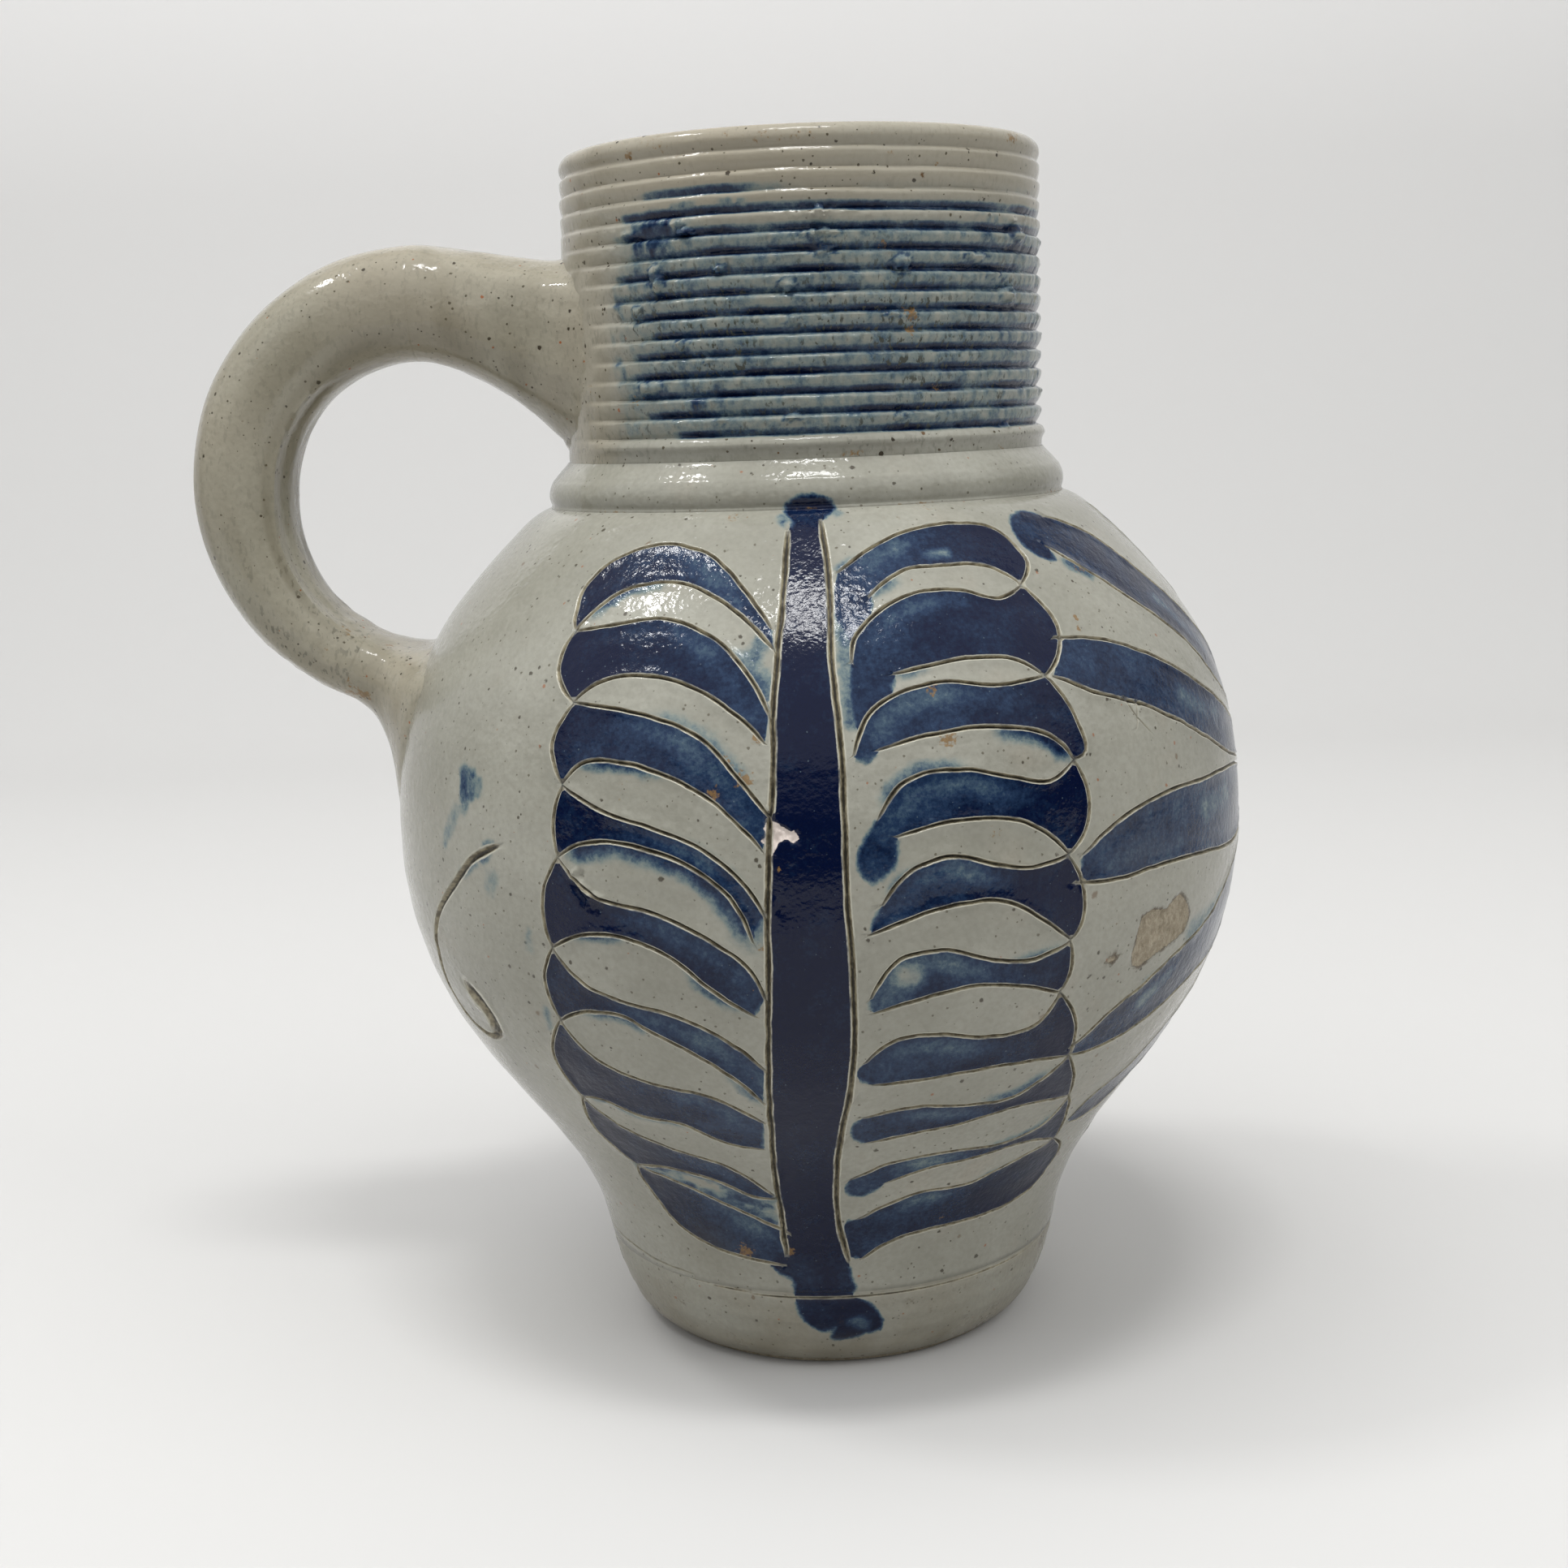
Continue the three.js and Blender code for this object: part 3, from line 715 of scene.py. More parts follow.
def painted_shapes():
    """Outlines that are filled with cobalt, how strongly, and where a leaf's wash is milky."""
    shapes = []
    for number, leaf in enumerate(ALL_LEAVES):
        tip, end = leaf["upper"][0][0], leaf["upper"][-1][0]
        thinner = 0.24 if number % len(LEAVES) < len(LEFT_LEAVES) else 0.4
        milky = (line_through(leaf["upper"]), end + 0.36 * (tip - end), thinner)
        shapes.append((leaf_outline(leaf), 0.9 + 0.06 * math.sin(2.1 * number), milky))
    for turned in (list, mirrored):
        left, right = line_through(turned(STEM_LEFT)), line_through(turned(STEM_RIGHT))
        shapes.append((np.vstack([left, right[::-1]]), 1.08, None))
        shapes.append((line_through(turned(STEM_CAP), steps=5), 0.98, None))
        shapes.append((line_through(turned(STEM_DROP), steps=5), 0.97, None))
    for number, petal in enumerate(ALL_PETALS):
        shapes.append((petal_outline(petal), 0.8 + 0.07 * math.cos(1.7 * number), None))
    shapes.append((line_through(ring_round_rosette(ROSETTE_RINGS[1])), 0.84, None))
    return shapes


def paint_at(flat):
    """Depth in the painted shapes and the strength of the paint, at unrolled places."""
    depth = np.full(len(flat), -float(EDGE))
    strength = np.full(len(flat), 0.85)
    for outline, full, milky in painted_shapes():
        near = near_outline(outline, flat, EDGE)
        if not len(near):
            continue
        inside = signed_depth(outline, flat[near])
        amount = np.full(len(near), full)
        if milky:
            # The wash is thin a little below the upper line, nearer to the stem
            below = nearest_on_line(milky[0], flat[near])[0]
            degrees = np.degrees(flat[near, 0] / ROLL)
            amount -= milky[2] * np.exp(-(((below - 2.2) / 1.8) ** 2) - ((degrees - milky[1]) / 7) ** 2)
            tip, end = np.degrees(milky[0][[0, -1], 0] / ROLL)
            amount += 0.25 * (np.clip((degrees - end) / (tip - end), 0, 1) - 0.5)
        better = inside > depth[near]
        depth[near[better]] = inside[better]
        strength[near[better]] = amount[better]
    middle = signed_depth(line_through(ring_round_rosette(ROSETTE_RINGS[0])), flat)
    depth = np.minimum(depth, -middle)
    for start, end, radius, gone in THIN:
        strength *= 1 - gone * dab_cover(flat, start, end, radius)
    return as_share(depth), strength


def dab_cover(flat, start, end, radius):
    """1 at the middle of a dab of the brush between two places, fading to 0 around it."""
    cover = np.zeros(len(flat))
    line = np.linspace(*unroll([start, end]), 9)
    near = near_outline(line, flat, 2 * radius)
    if len(near):
        cover[near] = 1 - smoothstep(0.3 * radius, 1.5 * radius, nearest_on_line(line, flat[near])[0])
    return cover


def bled_paint(flat, places):
    """Thin cobalt outside the painted shapes: washes over the lines, and dabs."""
    bled = np.zeros(len(flat))
    waver = smooth_noise(places, 2.6, seed=5)
    washes = [(number - 1, *wash) for number, *wash in LEFT_WASHES]
    washes += [(len(LEFT_LEAVES) + number - 1, *wash) for number, *wash in RIGHT_WASHES]
    for far in (0, len(LEAVES)):
        for number, part, start, end, reach, full in washes:
            line = line_through(ALL_LEAVES[far + number][part])
            near = near_outline(line, flat, reach + 1)
            away, share = nearest_on_line(line, flat[near])
            along = smoothstep(start - 0.1, start + 0.1, share)
            along *= 1 - smoothstep(end - 0.1, end + 0.1, share)
            cover = 1 - smoothstep(0.1 * reach, 1.25 * reach, away + 0.18 * reach * waver[near])
            bled[near] = np.maximum(bled[near], full * along * cover)
    for start, end, radius, full in DABS:
        bled = np.maximum(bled, full * dab_cover(flat, start, end, radius))
    return bled


# Meshes

SHARPEST_SMOOTH_TURN = math.radians(50)


def give(piece, label, values):
    """Gives each corner of a piece a number under a label, which its glaze reads."""
    layer = piece.data.attributes.new(label, "FLOAT", "POINT")
    layer.data.foreach_set("value", np.asarray(values, np.float32))


def give_on(piece, side, numbers):
    """Gives numbers by label to the corners on one side of a piece, and 0 to its other corners."""
    for label, values in numbers.items():
        give(piece, label, np.where(side, values, 0))


def mesh_object(name, places, faces):
    """A smooth mesh object at the origin from millimetre places."""
    mesh = bpy.data.meshes.new(name)
    mesh.from_pydata((np.asarray(places) * MM).tolist(), [], faces)
    mesh.validate()
    mesh.shade_smooth()
    piece = bpy.data.objects.new(name, mesh)
    bpy.context.scene.collection.objects.link(piece)
    return piece


def choose(piece):
    """Makes a piece the only one that the next operator acts on."""
    bpy.ops.object.select_all(action="DESELECT")
    piece.select_set(True)
    bpy.context.view_layer.objects.active = piece


def crease_flats(piece):
    """Keeps the flat ends of a piece sharp against its round sides."""
    choose(piece)
    bpy.ops.object.shade_smooth_by_angle(angle=SHARPEST_SMOOTH_TURN)


def face_outwards(piece):
    choose(piece)
    bpy.ops.object.mode_set(mode="EDIT")
    bpy.ops.mesh.select_all(action="SELECT")
    bpy.ops.mesh.normals_make_consistent(inside=False)
    bpy.ops.object.mode_set(mode="OBJECT")


# The belly. Its corners lie close beside the incised lines and further apart on the plain glaze.

SEAM = (math.radians(SEAM_AT) * ROLL, math.radians(SEAM_AT + 360) * ROLL)
SPACING = 1.3
LINE_STEP = 0.95
LINE_ROWS = (0, 0.55, -0.55, 1, -1, 1.6, -1.6, 3.4, -3.4)
LINE_CLEARANCE = 1.7
INSIDE_ROWS = 34


def on_belly(flat):
    """Places on the even outside of the belly, from unrolled places."""
    heights = height_at(flat[:, 1])
    return around(np.degrees(flat[:, 0] / ROLL), belly_radius(heights), heights)


class NearestLine:
    """Finds how far a place on the belly lies from the middle of the nearest incised line."""

    def __init__(self):
        strokes = stroke_samples(0.2)
        self.half_width = np.concatenate([half_width for _, half_width, _ in strokes])
        self.depth = np.concatenate([depth for _, _, depth in strokes])
        self.tree = kdtree.KDTree(len(self.depth))
        number = 0
        for line, _, _ in strokes:
            for place in on_belly(line):
                self.tree.insert(place, number)
                number += 1
        self.tree.balance()

    def distance(self, flat):
        found = [self.tree.find(place) for place in on_belly(flat)]
        return np.array([away for _, _, away in found]), np.array([number for _, number, _ in found])


def rows_of_fill(spacing, low, high):
    """Unrolled places that fill a band of the belly evenly."""
    left, right = SEAM
    fill = []
    for i, level in enumerate(np.arange(low, high, spacing * 0.87)):
        girth = 2 * math.pi * float(belly_radius(height_at(level)))
        count = round(girth / spacing)
        turns = (np.arange(count) + 0.25 + 0.5 * (i % 2)) / count
        fill.append(np.stack([left + (right - left) * turns, np.full(count, level)], axis=1))
    return np.vstack(fill)


def belly_layout(lines):
    """Unrolled places of the belly's corners, and its triangles."""
    left, right = SEAM
    levels = np.linspace(0, BELLY_LENGTH, round(BELLY_LENGTH / SPACING) + 1)[1:-1]
    points = [(u, v) for v in (0, BELLY_LENGTH) for u in np.linspace(left, right, COLUMNS + 1)]
    points += [(u, v) for u in (left, right) for v in levels]

    edges = []
    for line, half_width, _ in stroke_samples(LINE_STEP):
        across = sideways(line)
        for row in LINE_ROWS:
            off = row * half_width
            moved = line + across * off[:, None]
            free = lines.distance(moved)[0] > 0.86 * np.abs(off) - 0.02
            within = (moved[:, 1] > 0.5) & (moved[:, 1] < BELLY_LENGTH - 0.5)
            before = None
            for place, keep in zip(moved, free & within):
                if not keep:
                    before = None
                    continue
                if before is not None and abs(row) < 2:
                    edges.append((before, len(points)))
                before = len(points)
                points.append(tuple(place))

    fill = rows_of_fill(SPACING, SPACING * 0.8, BELLY_LENGTH - SPACING * 0.5)
    fill = fill[lines.distance(fill)[0] > LINE_CLEARANCE]
    for middle, reach, spacing in FINE_SPOTS:
        level = float(arc_at(middle[1]))
        fill = fill[spot_distance(fill, middle) > reach]
        fine = rows_of_fill(spacing, level - reach, level + reach)
        fine = fine[spot_distance(fine, middle) < reach - 0.3 * spacing]
        fine = fine[lines.distance(fine)[0] > 0.62]
        fill = np.vstack([fill, fine])
    points += [tuple(place) for place in fill]

    made, _, faces, _, _, _ = geometry.delaunay_2d_cdt([Vector(p) for p in points], edges, [], 0, 0.01)
    return np.array([(p.x, p.y) for p in made]), [list(face) for face in faces]


def close_the_seam(flat, faces):
    """Joins the two ends of the unrolled belly."""
    left, right = SEAM
    at_left = {round(v, 3): i for i, (u, v) in enumerate(flat) if abs(u - left) < 1e-3}
    number = list(range(len(flat)))
    for i, (u, v) in enumerate(flat):
        if abs(u - right) < 1e-3:
            number[i] = at_left[round(v, 3)]
    return [[number[i] for i in face] for face in faces]


def spot_distance(flat, place):
    """Real distance of unrolled places from a place given by degrees and height."""
    middle = unroll([place])
    return np.hypot((flat[:, 0] - middle[0, 0]) * true_scale(middle)[0], flat[:, 1] - middle[0, 1])


def depth_in(outline, flat):
    """How deep unrolled places lie in an outline given by degrees and height, in millimetres."""
    depth = np.full(len(flat), -float(EDGE))
    shape = unroll(outline)
    near = near_outline(shape, flat, EDGE)
    if len(near):
        depth[near] = np.maximum(signed_depth(shape, flat[near]), -EDGE)
    return depth


def as_share(depth):
    """A depth in millimetres as the share that the glaze reads: a half is the edge itself."""
    return np.clip(0.5 + depth / (2 * EDGE), 0, 1)


def groove_lift(share, depth, places):
    """Height of the surface across an incised line: a rounded cut with a small raised lip."""
    cut = -depth * np.clip(1 - share**2, 0, 1) ** 0.7
    burr = 0.2 + 0.13 * smooth_noise(places, 1.8, seed=51)
    lip = burr * np.exp(-(((share - 1.35) / 0.4) ** 2)) * np.clip(depth / 0.4, 0, 1)
    return cut + lip * (share > 0.95)


def flake_lift(flat):
    """Height of the torn flakes, each with a hollow below it where the clay is missing."""
    lift = np.zeros(len(flat))
    for place, turn, half_length, half_width, height in FLAKES:
        middle = unroll([place])
        near = near_outline(middle, flat, 2 * half_length)
        if not len(near):
            continue
        off = (flat[near] - middle[0]) * [true_scale(middle)[0], 1]
        way = np.array([math.cos(math.radians(turn)), math.sin(math.radians(turn))])
        along = off @ way / half_length
        across = off @ np.array([-way[1], way[0]]) / half_width
        lift[near] += height * np.exp(-(along**4) - across**2)
        lift[near] -= 0.8 * height * np.exp(-(along**4) - (across + 2) ** 2)
    return lift


def spots_at(flat, spots):
    """How strongly round spots with soft edges show at unrolled places."""
    shown = np.zeros(len(flat))
    for place, radius, strength in spots:
        shown = np.maximum(shown, np.exp(-((spot_distance(flat, place) / radius) ** 2)) * strength)
    return shown


def paint_attributes(flat, places):
    paint, strength = paint_at(flat)
    return {"paint": paint, "strength": strength, "bleed": bled_paint(flat, places)}


def scarred(even, scar, star, chip):
    """Height of the rough clay in the two kiln scars and the chip."""
    rough = smooth_noise(even, 1.0, seed=6)
    fine = smooth_noise(even, 0.5, seed=7)
    lift = smoothstep(-0.4, 0.5, scar) * (0.32 * rough + 0.16 * fine - 0.2)
    lift += smoothstep(-0.2, 0.4, star) * (0.4 * fine + 0.1)
    return lift - smoothstep(-0.2, 0.4, chip) * (0.3 + 0.35 * fine)


def belly_inside():
    """Rows of places one wall further in than the outside, on the columns of its edges."""
    heights = np.linspace(FOOT_TOP, SHOULDER, INSIDE_ROWS)
    steepness = np.maximum(outward(arc_at(heights))[0], 0.35)
    radii = np.maximum(belly_radius(heights) - WALL / steepness, BORE_RADIUS)
    radii[0] = FOOT_RADIUS - WALL
    turns = SEAM_AT + 360 * np.arange(COLUMNS) / COLUMNS
    return np.vstack([around(turns, radius, height) for radius, height in zip(radii, heights)])


def inside_faces(first):
    """Faces between the rows of the inside, whose corners are counted from a first one."""
    faces = []
    for row in range(INSIDE_ROWS - 1):
        for i in range(COLUMNS):
            a = first + row * COLUMNS + i
            b = first + row * COLUMNS + (i + 1) % COLUMNS
            faces.append([b, a, a + COLUMNS, b + COLUMNS])
    return faces


def closing_rings(flat, faces, first):
    """Flat rings that close the wall at the foot and at the shoulder."""
    used = set(i for face in faces for i in face)
    top_row = first + (INSIDE_ROWS - 1) * COLUMNS
    rings = []
    for level, inner, faces_up in ((0, first, False), (BELLY_LENGTH, top_row, True)):
        edge = [i for i in range(len(flat)) if abs(flat[i, 1] - level) < 1e-3 and i in used]
        edge.sort(key=lambda i: flat[i, 0])
        for i in range(COLUMNS):
            j = (i + 1) % COLUMNS
            quad = [edge[i], edge[j], inner + j, inner + i]
            rings.append(quad if faces_up else quad[::-1])
    return rings


def belly():
    lines = NearestLine()
    flat, faces = belly_layout(lines)
    faces = close_the_seam(flat, faces)
    distance, nearest = lines.distance(flat)
    share = distance / lines.half_width[nearest]
    depth = lines.depth[nearest]
    even = on_belly(flat)
    scar, star, chip = (depth_in(outline, flat) for outline in (KILN_SCAR, STAR_SCAR, CHIP))
    lift = groove_lift(share, depth, even) + flake_lift(flat) + scarred(even, scar, star, chip)
    radial, upward = outward(flat[:, 1])
    heights = height_at(flat[:, 1])
    radius = belly_radius(heights) + radial * lift + unevenness(even)
    heights = heights + upward * lift + shoulder_sink(heights)
    outside = around(np.degrees(flat[:, 0] / ROLL), radius, heights)
    numbers = {
        "line": 1 - np.clip(share / 4, 0, 1),
        "line_depth": np.clip(depth / 0.45, 0, 1),
        "stain": spots_at(flat, STAINS),
        "brown": spots_at(flat, SMEARS),
        "bare": np.maximum(as_share(scar), 0.72 * as_share(star)),
        "chip": as_share(chip),
        **paint_attributes(flat, even),
    }

    inside = belly_inside()
    faces += inside_faces(len(outside))
    faces += closing_rings(flat, faces, len(outside))
    unmarked = np.zeros(len(inside))
    numbers = {label: np.concatenate([values, unmarked]) for label, values in numbers.items()}
    numbers["inside"] = np.concatenate([np.zeros(len(outside)), np.ones(len(inside))])
    return keep_used("belly_engraved", np.vstack([outside, inside]), faces, numbers)


def keep_used(name, places, faces, numbers):
    """A mesh object without the corners that no face uses, with its numbers by label."""
    used = np.zeros(len(places), bool)
    for face in faces:
        used[face] = True
    number = np.cumsum(used) - 1
    piece = mesh_object(name, places[used], [[int(number[i]) for i in face] for face in faces])
    for label, values in numbers.items():
        give(piece, label, values[used])
    return piece


# Turned pieces

def spun(name, profile, columns):
    """A closed outline of radius and height, spun round the axis into a closed piece."""
    bpy.ops.object.select_all(action="DESELECT")
    bpy.ops.mesh.primitive_circle_add(vertices=len(profile), radius=1)
    piece = bpy.context.object
    piece.name = name
    piece.data.name = name
    for corner, (radius, height) in zip(piece.data.vertices, profile):
        corner.co = (0, -radius * MM, height * MM)
    bpy.ops.object.mode_set(mode="EDIT")
    bpy.ops.mesh.select_all(action="SELECT")
    bpy.ops.mesh.spin(steps=columns, angle=2 * math.pi, center=(0, 0, 0), axis=(0, 0, 1))
    bpy.ops.mesh.select_all(action="SELECT")
    bpy.ops.mesh.remove_doubles(threshold=0.01 * MM)
    bpy.ops.mesh.normals_make_consistent(inside=False)
    bpy.ops.object.mode_set(mode="OBJECT")
    piece.data.shade_smooth()
    return piece


def places_of(piece):
    places = np.empty(3 * len(piece.data.vertices))
    piece.data.vertices.foreach_get("co", places)
    return places.reshape(-1, 3) / MM


def move_to(piece, places):
    piece.data.vertices.foreach_set("co", (places * MM).ravel())
    piece.data.update()


def on_the_pot(places):
    """Degrees from the seam at the handle round to it again, radius and height of rows of places."""
    degrees = np.degrees(np.arctan2(places[:, 0], -places[:, 1]))
    degrees = np.where(degrees < SEAM_AT, degrees + 360, degrees)
    return degrees, np.hypot(places[:, 0], places[:, 1]), places[:, 2]


def flat_on_pot(degrees, height):
    return np.stack([np.radians(degrees) * ROLL, arc_at(height)], axis=1)


def push_out(places, amount):
    """Moves rows of places away from the axis."""
    far = np.hypot(places[:, 0], places[:, 1])
    way = np.where(far[:, None] > 1, places * [1, 1, 0] / np.maximum(far, 1)[:, None], 0)
    return places + way * amount[:, None]


FOOT_SCRATCH = [
    (-60, 18), (-52, 17.3), (-44, 16.6), (-30, 15.7), (-15, 15), (4, 15), (24, 15.1), (43.5, 15.2),
    (90, 15.4), (180, 15.2),
]
FOOT_NICKS = [
    ((33, 15.9), 3.5, 0.25), ((20, 15.1), 1.2, 0.4), ((-10, 15.2), 2.5, 0.2), ((41, 15.4), 1.4, 0.35),
]
CORD_PULL = (55, -8)
# The foot's flat underside ends a little inside its edge, which is rounded up to this height
HEEL_RUN_IN = 1.4
HEEL_RISE = 0.9
# The hole that is left at the axis, too small to see, before its corners are merged
AXIS_GAP = 0.02


def foot_profile():
    """Outline of the foot's underside, outside and inner side with the floor of the jug."""
    edge = BASE_RADIUS - HEEL_RUN_IN
    inner_radius = FOOT_RADIUS - WALL
    under = [(radius, 0) for radius in np.linspace(AXIS_GAP, edge, 34)[:-1]]
    heel = bezier([(edge, 0), (BASE_RADIUS - 0.2, 0), (BASE_RADIUS, HEEL_RISE)], np.linspace(0, 1, 6))
    outside = bezier(
        [(BASE_RADIUS, HEEL_RISE), (FOOT_RADIUS - 3.1, 2.2), (FOOT_RADIUS, FOOT_TOP)],
        np.linspace(0, 1, 56),
    )
    inside = bezier(
        [(inner_radius, FOOT_TOP), (inner_radius - 1, FLOOR_THICKNESS), (FLOOR_RADIUS, FLOOR_THICKNESS)],
        np.linspace(0, 1, 14),
    )
    floor = [(radius, FLOOR_THICKNESS) for radius in np.linspace(FLOOR_RADIUS, AXIS_GAP, 12)[1:]]
    return [*under, *heel, *outside[1:], *inside, *floor]


def foot_scratch(degrees, height, places):
    """Distance from the line scratched round the foot, and how deep it is. Some places are deeper."""
    off = np.abs(height - np.interp(degrees, *np.array(FOOT_SCRATCH).T))
    scratch = np.exp(-((off / 0.24) ** 2)) * smoothstep(-62, -40, degrees)
    scratch *= 1 - smoothstep(200, 230, degrees)
    scratch *= np.clip(0.55 + 0.6 * smooth_noise(places, 9, seed=10), 0.1, 1)
    for (turn, level), half_length, half_height in FOOT_NICKS:
        along = (degrees - turn) * math.radians(FOOT_RADIUS) / half_length
        scratch = np.maximum(scratch, np.exp(-(along**2) - ((height - level) / half_height) ** 2))
    return off, scratch


def cord_marks(places, radius):
    """Loops left by the cord that cut the foot from the wheel, round a point outside the disc."""
    from_pull = np.hypot(places[:, 0] - CORD_PULL[0], places[:, 1] - CORD_PULL[1])
    marks = 0.16 * (1 + np.sin(from_pull * 1.9 + 1.2 * smooth_noise(places, 14, seed=12)))
    return marks * (1 - smoothstep(BASE_RADIUS - 6, BASE_RADIUS - 2, radius))


def foot():
    """The turned foot with the floor of the jug."""
    piece = spun("foot_turned", foot_profile(), COLUMNS)
    places = places_of(piece)
    degrees, radius, height = on_the_pot(places)
    inner_side = FOOT_RADIUS - WALL + 2.4 - (FOOT_TOP - height) * 0.6
    on_side = (radius > BASE_RADIUS - 2) & (radius > inner_side)
    under_side = (height < 0.6) & (radius < BASE_RADIUS)

    off_scratch, scratch = foot_scratch(degrees, height, places)
    scratch *= on_side
    heel_dents = 0.4 * np.clip(smooth_noise(places, 7, seed=11), -1, 0.2) * (1 - smoothstep(0.5, 4, height))
    turning = 0.05 * np.sin(height * 1.9 + smooth_noise(places, 25, seed=14))
    amount = np.where(on_side, unevenness(places) + heel_dents + turning, 0) - 0.26 * scratch
    places = push_out(places, amount)
    flat_part = (height < 0.01) & (radius < BASE_RADIUS - HEEL_RUN_IN + 0.1)
    places[:, 2] += np.where(flat_part, cord_marks(places, radius), 0)
    move_to(piece, places)

    heel_edge = 0.5 + 0.3 * smooth_noise(places, 3, seed=15) - 0.35 * smoothstep(0.3, 1.6, height)
    give(piece, "bare", np.where(under_side, 1, np.where(on_side, heel_edge, 0)))
    give(piece, "line", 1 - np.clip(off_scratch / 0.26 / 4, 0, 1))
    give(piece, "line_depth", np.clip(scratch * 2.6, 0, 1))
    give(piece, "inside", (~on_side & ~under_side).astype(float))
    flat = flat_on_pot(degrees, height)
    heel_stain = np.exp(-(((height - HEEL_RISE) / 1.1) ** 2))
    heel_stain *= np.clip(0.4 + smooth_noise(places, 6, seed=13), 0, 1)
    low = 1 - smoothstep(1, 10, height)
    give_on(piece, on_side, {
        **paint_attributes(flat, places),
        "stain": np.maximum(0.7 * heel_stain, spots_at(flat, STAINS)),
        "warm": 0.5 * low,
        "brown": low * np.clip(0.3 + 0.4 * smooth_noise(places, 5, seed=56), 0, 1),
    })
    crease_flats(piece)
    return piece


# The neck

def neck_radius(height):
    return np.interp(height, [SHOULDER, RIM], [NECK_RADIUS, RIM_RADIUS])


# Clay crumbs that were dragged along the ribs: place, half length, half height, how far they stand out
CRUMBS = [
    ((4, 191.3), 1.3, 0.75, 0.9), ((4.8, 188.5), 1.9, 0.55, 0.8), ((5, 186), 1.2, 0.6, 0.6),
    ((22.5, 183.5), 1.1, 0.9, 0.85), ((-28, 191), 1.0, 0.45, 0.6), ((-26.5, 189.6), 1.2, 0.5, 0.7),
    ((-34.5, 183.5), 0.8, 0.9, 0.9), ((-33.5, 181.9), 0.8, 1.1, 0.9), ((54.5, 179), 1.3, 1.2, 1.1),
    ((60, 188.5), 1.5, 0.9, 0.8), ((57, 190.6), 1.0, 0.5, 0.5), ((-3, 180.5), 1.0, 0.6, 0.7),
    ((-18.5, 183.5), 0.7, 0.5, 0.6), ((-28, 172.5), 0.8, 0.8, 0.8), ((20.5, 176), 0.7, 0.45, 0.6),
    ((25.5, 176), 0.6, 0.45, 0.55), ((-2, 175.5), 0.7, 0.5, 0.6), ((-40, 177.5), 0.6, 0.8, 0.6),
    ((-36.5, 166), 1.6, 0.7, 0.5), ((-18.5, 160.5), 0.5, 0.4, 0.5), ((21.5, 160), 0.6, 0.4, 0.5),
    ((-2.5, 160.7), 0.8, 0.45, 0.6), ((53.5, 158), 0.9, 0.4, 0.45), ((-21.5, 170), 0.6, 0.4, 0.5),
    ((43, 184.5), 1.4, 0.5, 0.5), ((49, 182), 1.1, 0.4, 0.4), ((-42, 190), 1.6, 0.4, 0.4),
    ((150, 186), 1.4, 0.7, 0.8), ((118, 174), 0.9, 0.6, 0.6), ((171, 169), 1.2, 0.6, 0.7),
    ((205, 181), 1.5, 0.6, 0.7),
]
CRUMB_PROUD = 1.3
CRUMB_SPREAD = 1.3

# Where the paint starts on the left and how strong it is in each groove, from the lowest up
NECK_PAINT = [
    (-33, 0.95), (-40, 0.85), (-45, 0.95), (-46, 0.95), (-45, 0.9), (-37, 0.9), (-46, 0.95),
    (-49, 0.9), (-49, 0.95), (-46, 0.9), (-47, 0.9), (-46, 0.9), (-39, 0.7),
]
NECK_PAINT_END = 230

# Thin washes over the ribs: place, half width in degrees, half height, strength
NECK_WASHES = [
    ((-33, 189), 13, 5, 0.7), ((-38, 183), 10, 2.5, 0.65), ((-28, 180), 12, 2.5, 0.4),
    ((-24, 164), 15, 3.5, 0.5), ((5, 161), 12, 2.5, 0.4), ((-47.5, 176), 3.5, 8, 0.6),
    ((-46, 169), 3, 4, 0.5), ((35, 187), 12, 3, 0.35), ((54.5, 179), 3, 1.3, 1.0),
    ((-5, 168), 28, 5, 0.3), ((40, 165), 16, 5, 0.35), ((150, 178), 30, 10, 0.3),
    ((-20, 193.5), 14, 1.2, 0.4), ((48, 190.5), 10, 1.5, 0.35), ((50, 172), 12, 7, 0.35),
]
NECK_RUST = [
    ((-41.5, 164), 2, 0.5), ((-83.5, 157.5), 2, 0.6), ((-59, 167), 2, 0.4), ((24.5, 176), 1.8, 0.7),
    ((18, 186.5), 1.3, 0.6), ((50.5, 154.5), 1.5, 0.5), ((31, 164.5), 1.3, 0.6), ((24.5, 173.3), 1.1, 0.8),
    ((-41, 202), 1.0, 0.8), ((20, 200.5), 1.8, 0.4), ((31.5, 198.5), 0.6, 0.8), ((-9, 202.5), 1, 0.6),
]

RIB_ROWS = (0, 0.12, 0.2, 0.28, 0.4, 0.52, 0.64, 0.76, 0.86, 0.94)


def ribbed_profile():
    """Outline of the neck, with rows close together where the ribs are."""
    lip = (RIM_RADIUS - BORE_RADIUS) / 2
    highest = RIM - lip - 0.2
    ribs = [
        LOWEST_GROOVE + (number - row) * GROOVE_PITCH
        for number in range(GROOVE_COUNT + 1) for row in RIB_ROWS[::-1]
    ]
    heights = [SHOULDER, SHOULDER + 3, CORDON_TOP - 1, CORDON_TOP - 0.4, *ribs]
    turns = np.linspace(0, math.pi, 15)
    outside = [(float(neck_radius(height)), height) for height in heights if height < highest]
    top = [(BORE_RADIUS + lip + lip * math.cos(turn), RIM - lip + lip * math.sin(turn)) for turn in turns]
    inside = [(BORE_RADIUS, height) for height in np.linspace(RIM - lip, SHOULDER, 10)[1:]]
    return [*outside, *top, *inside]


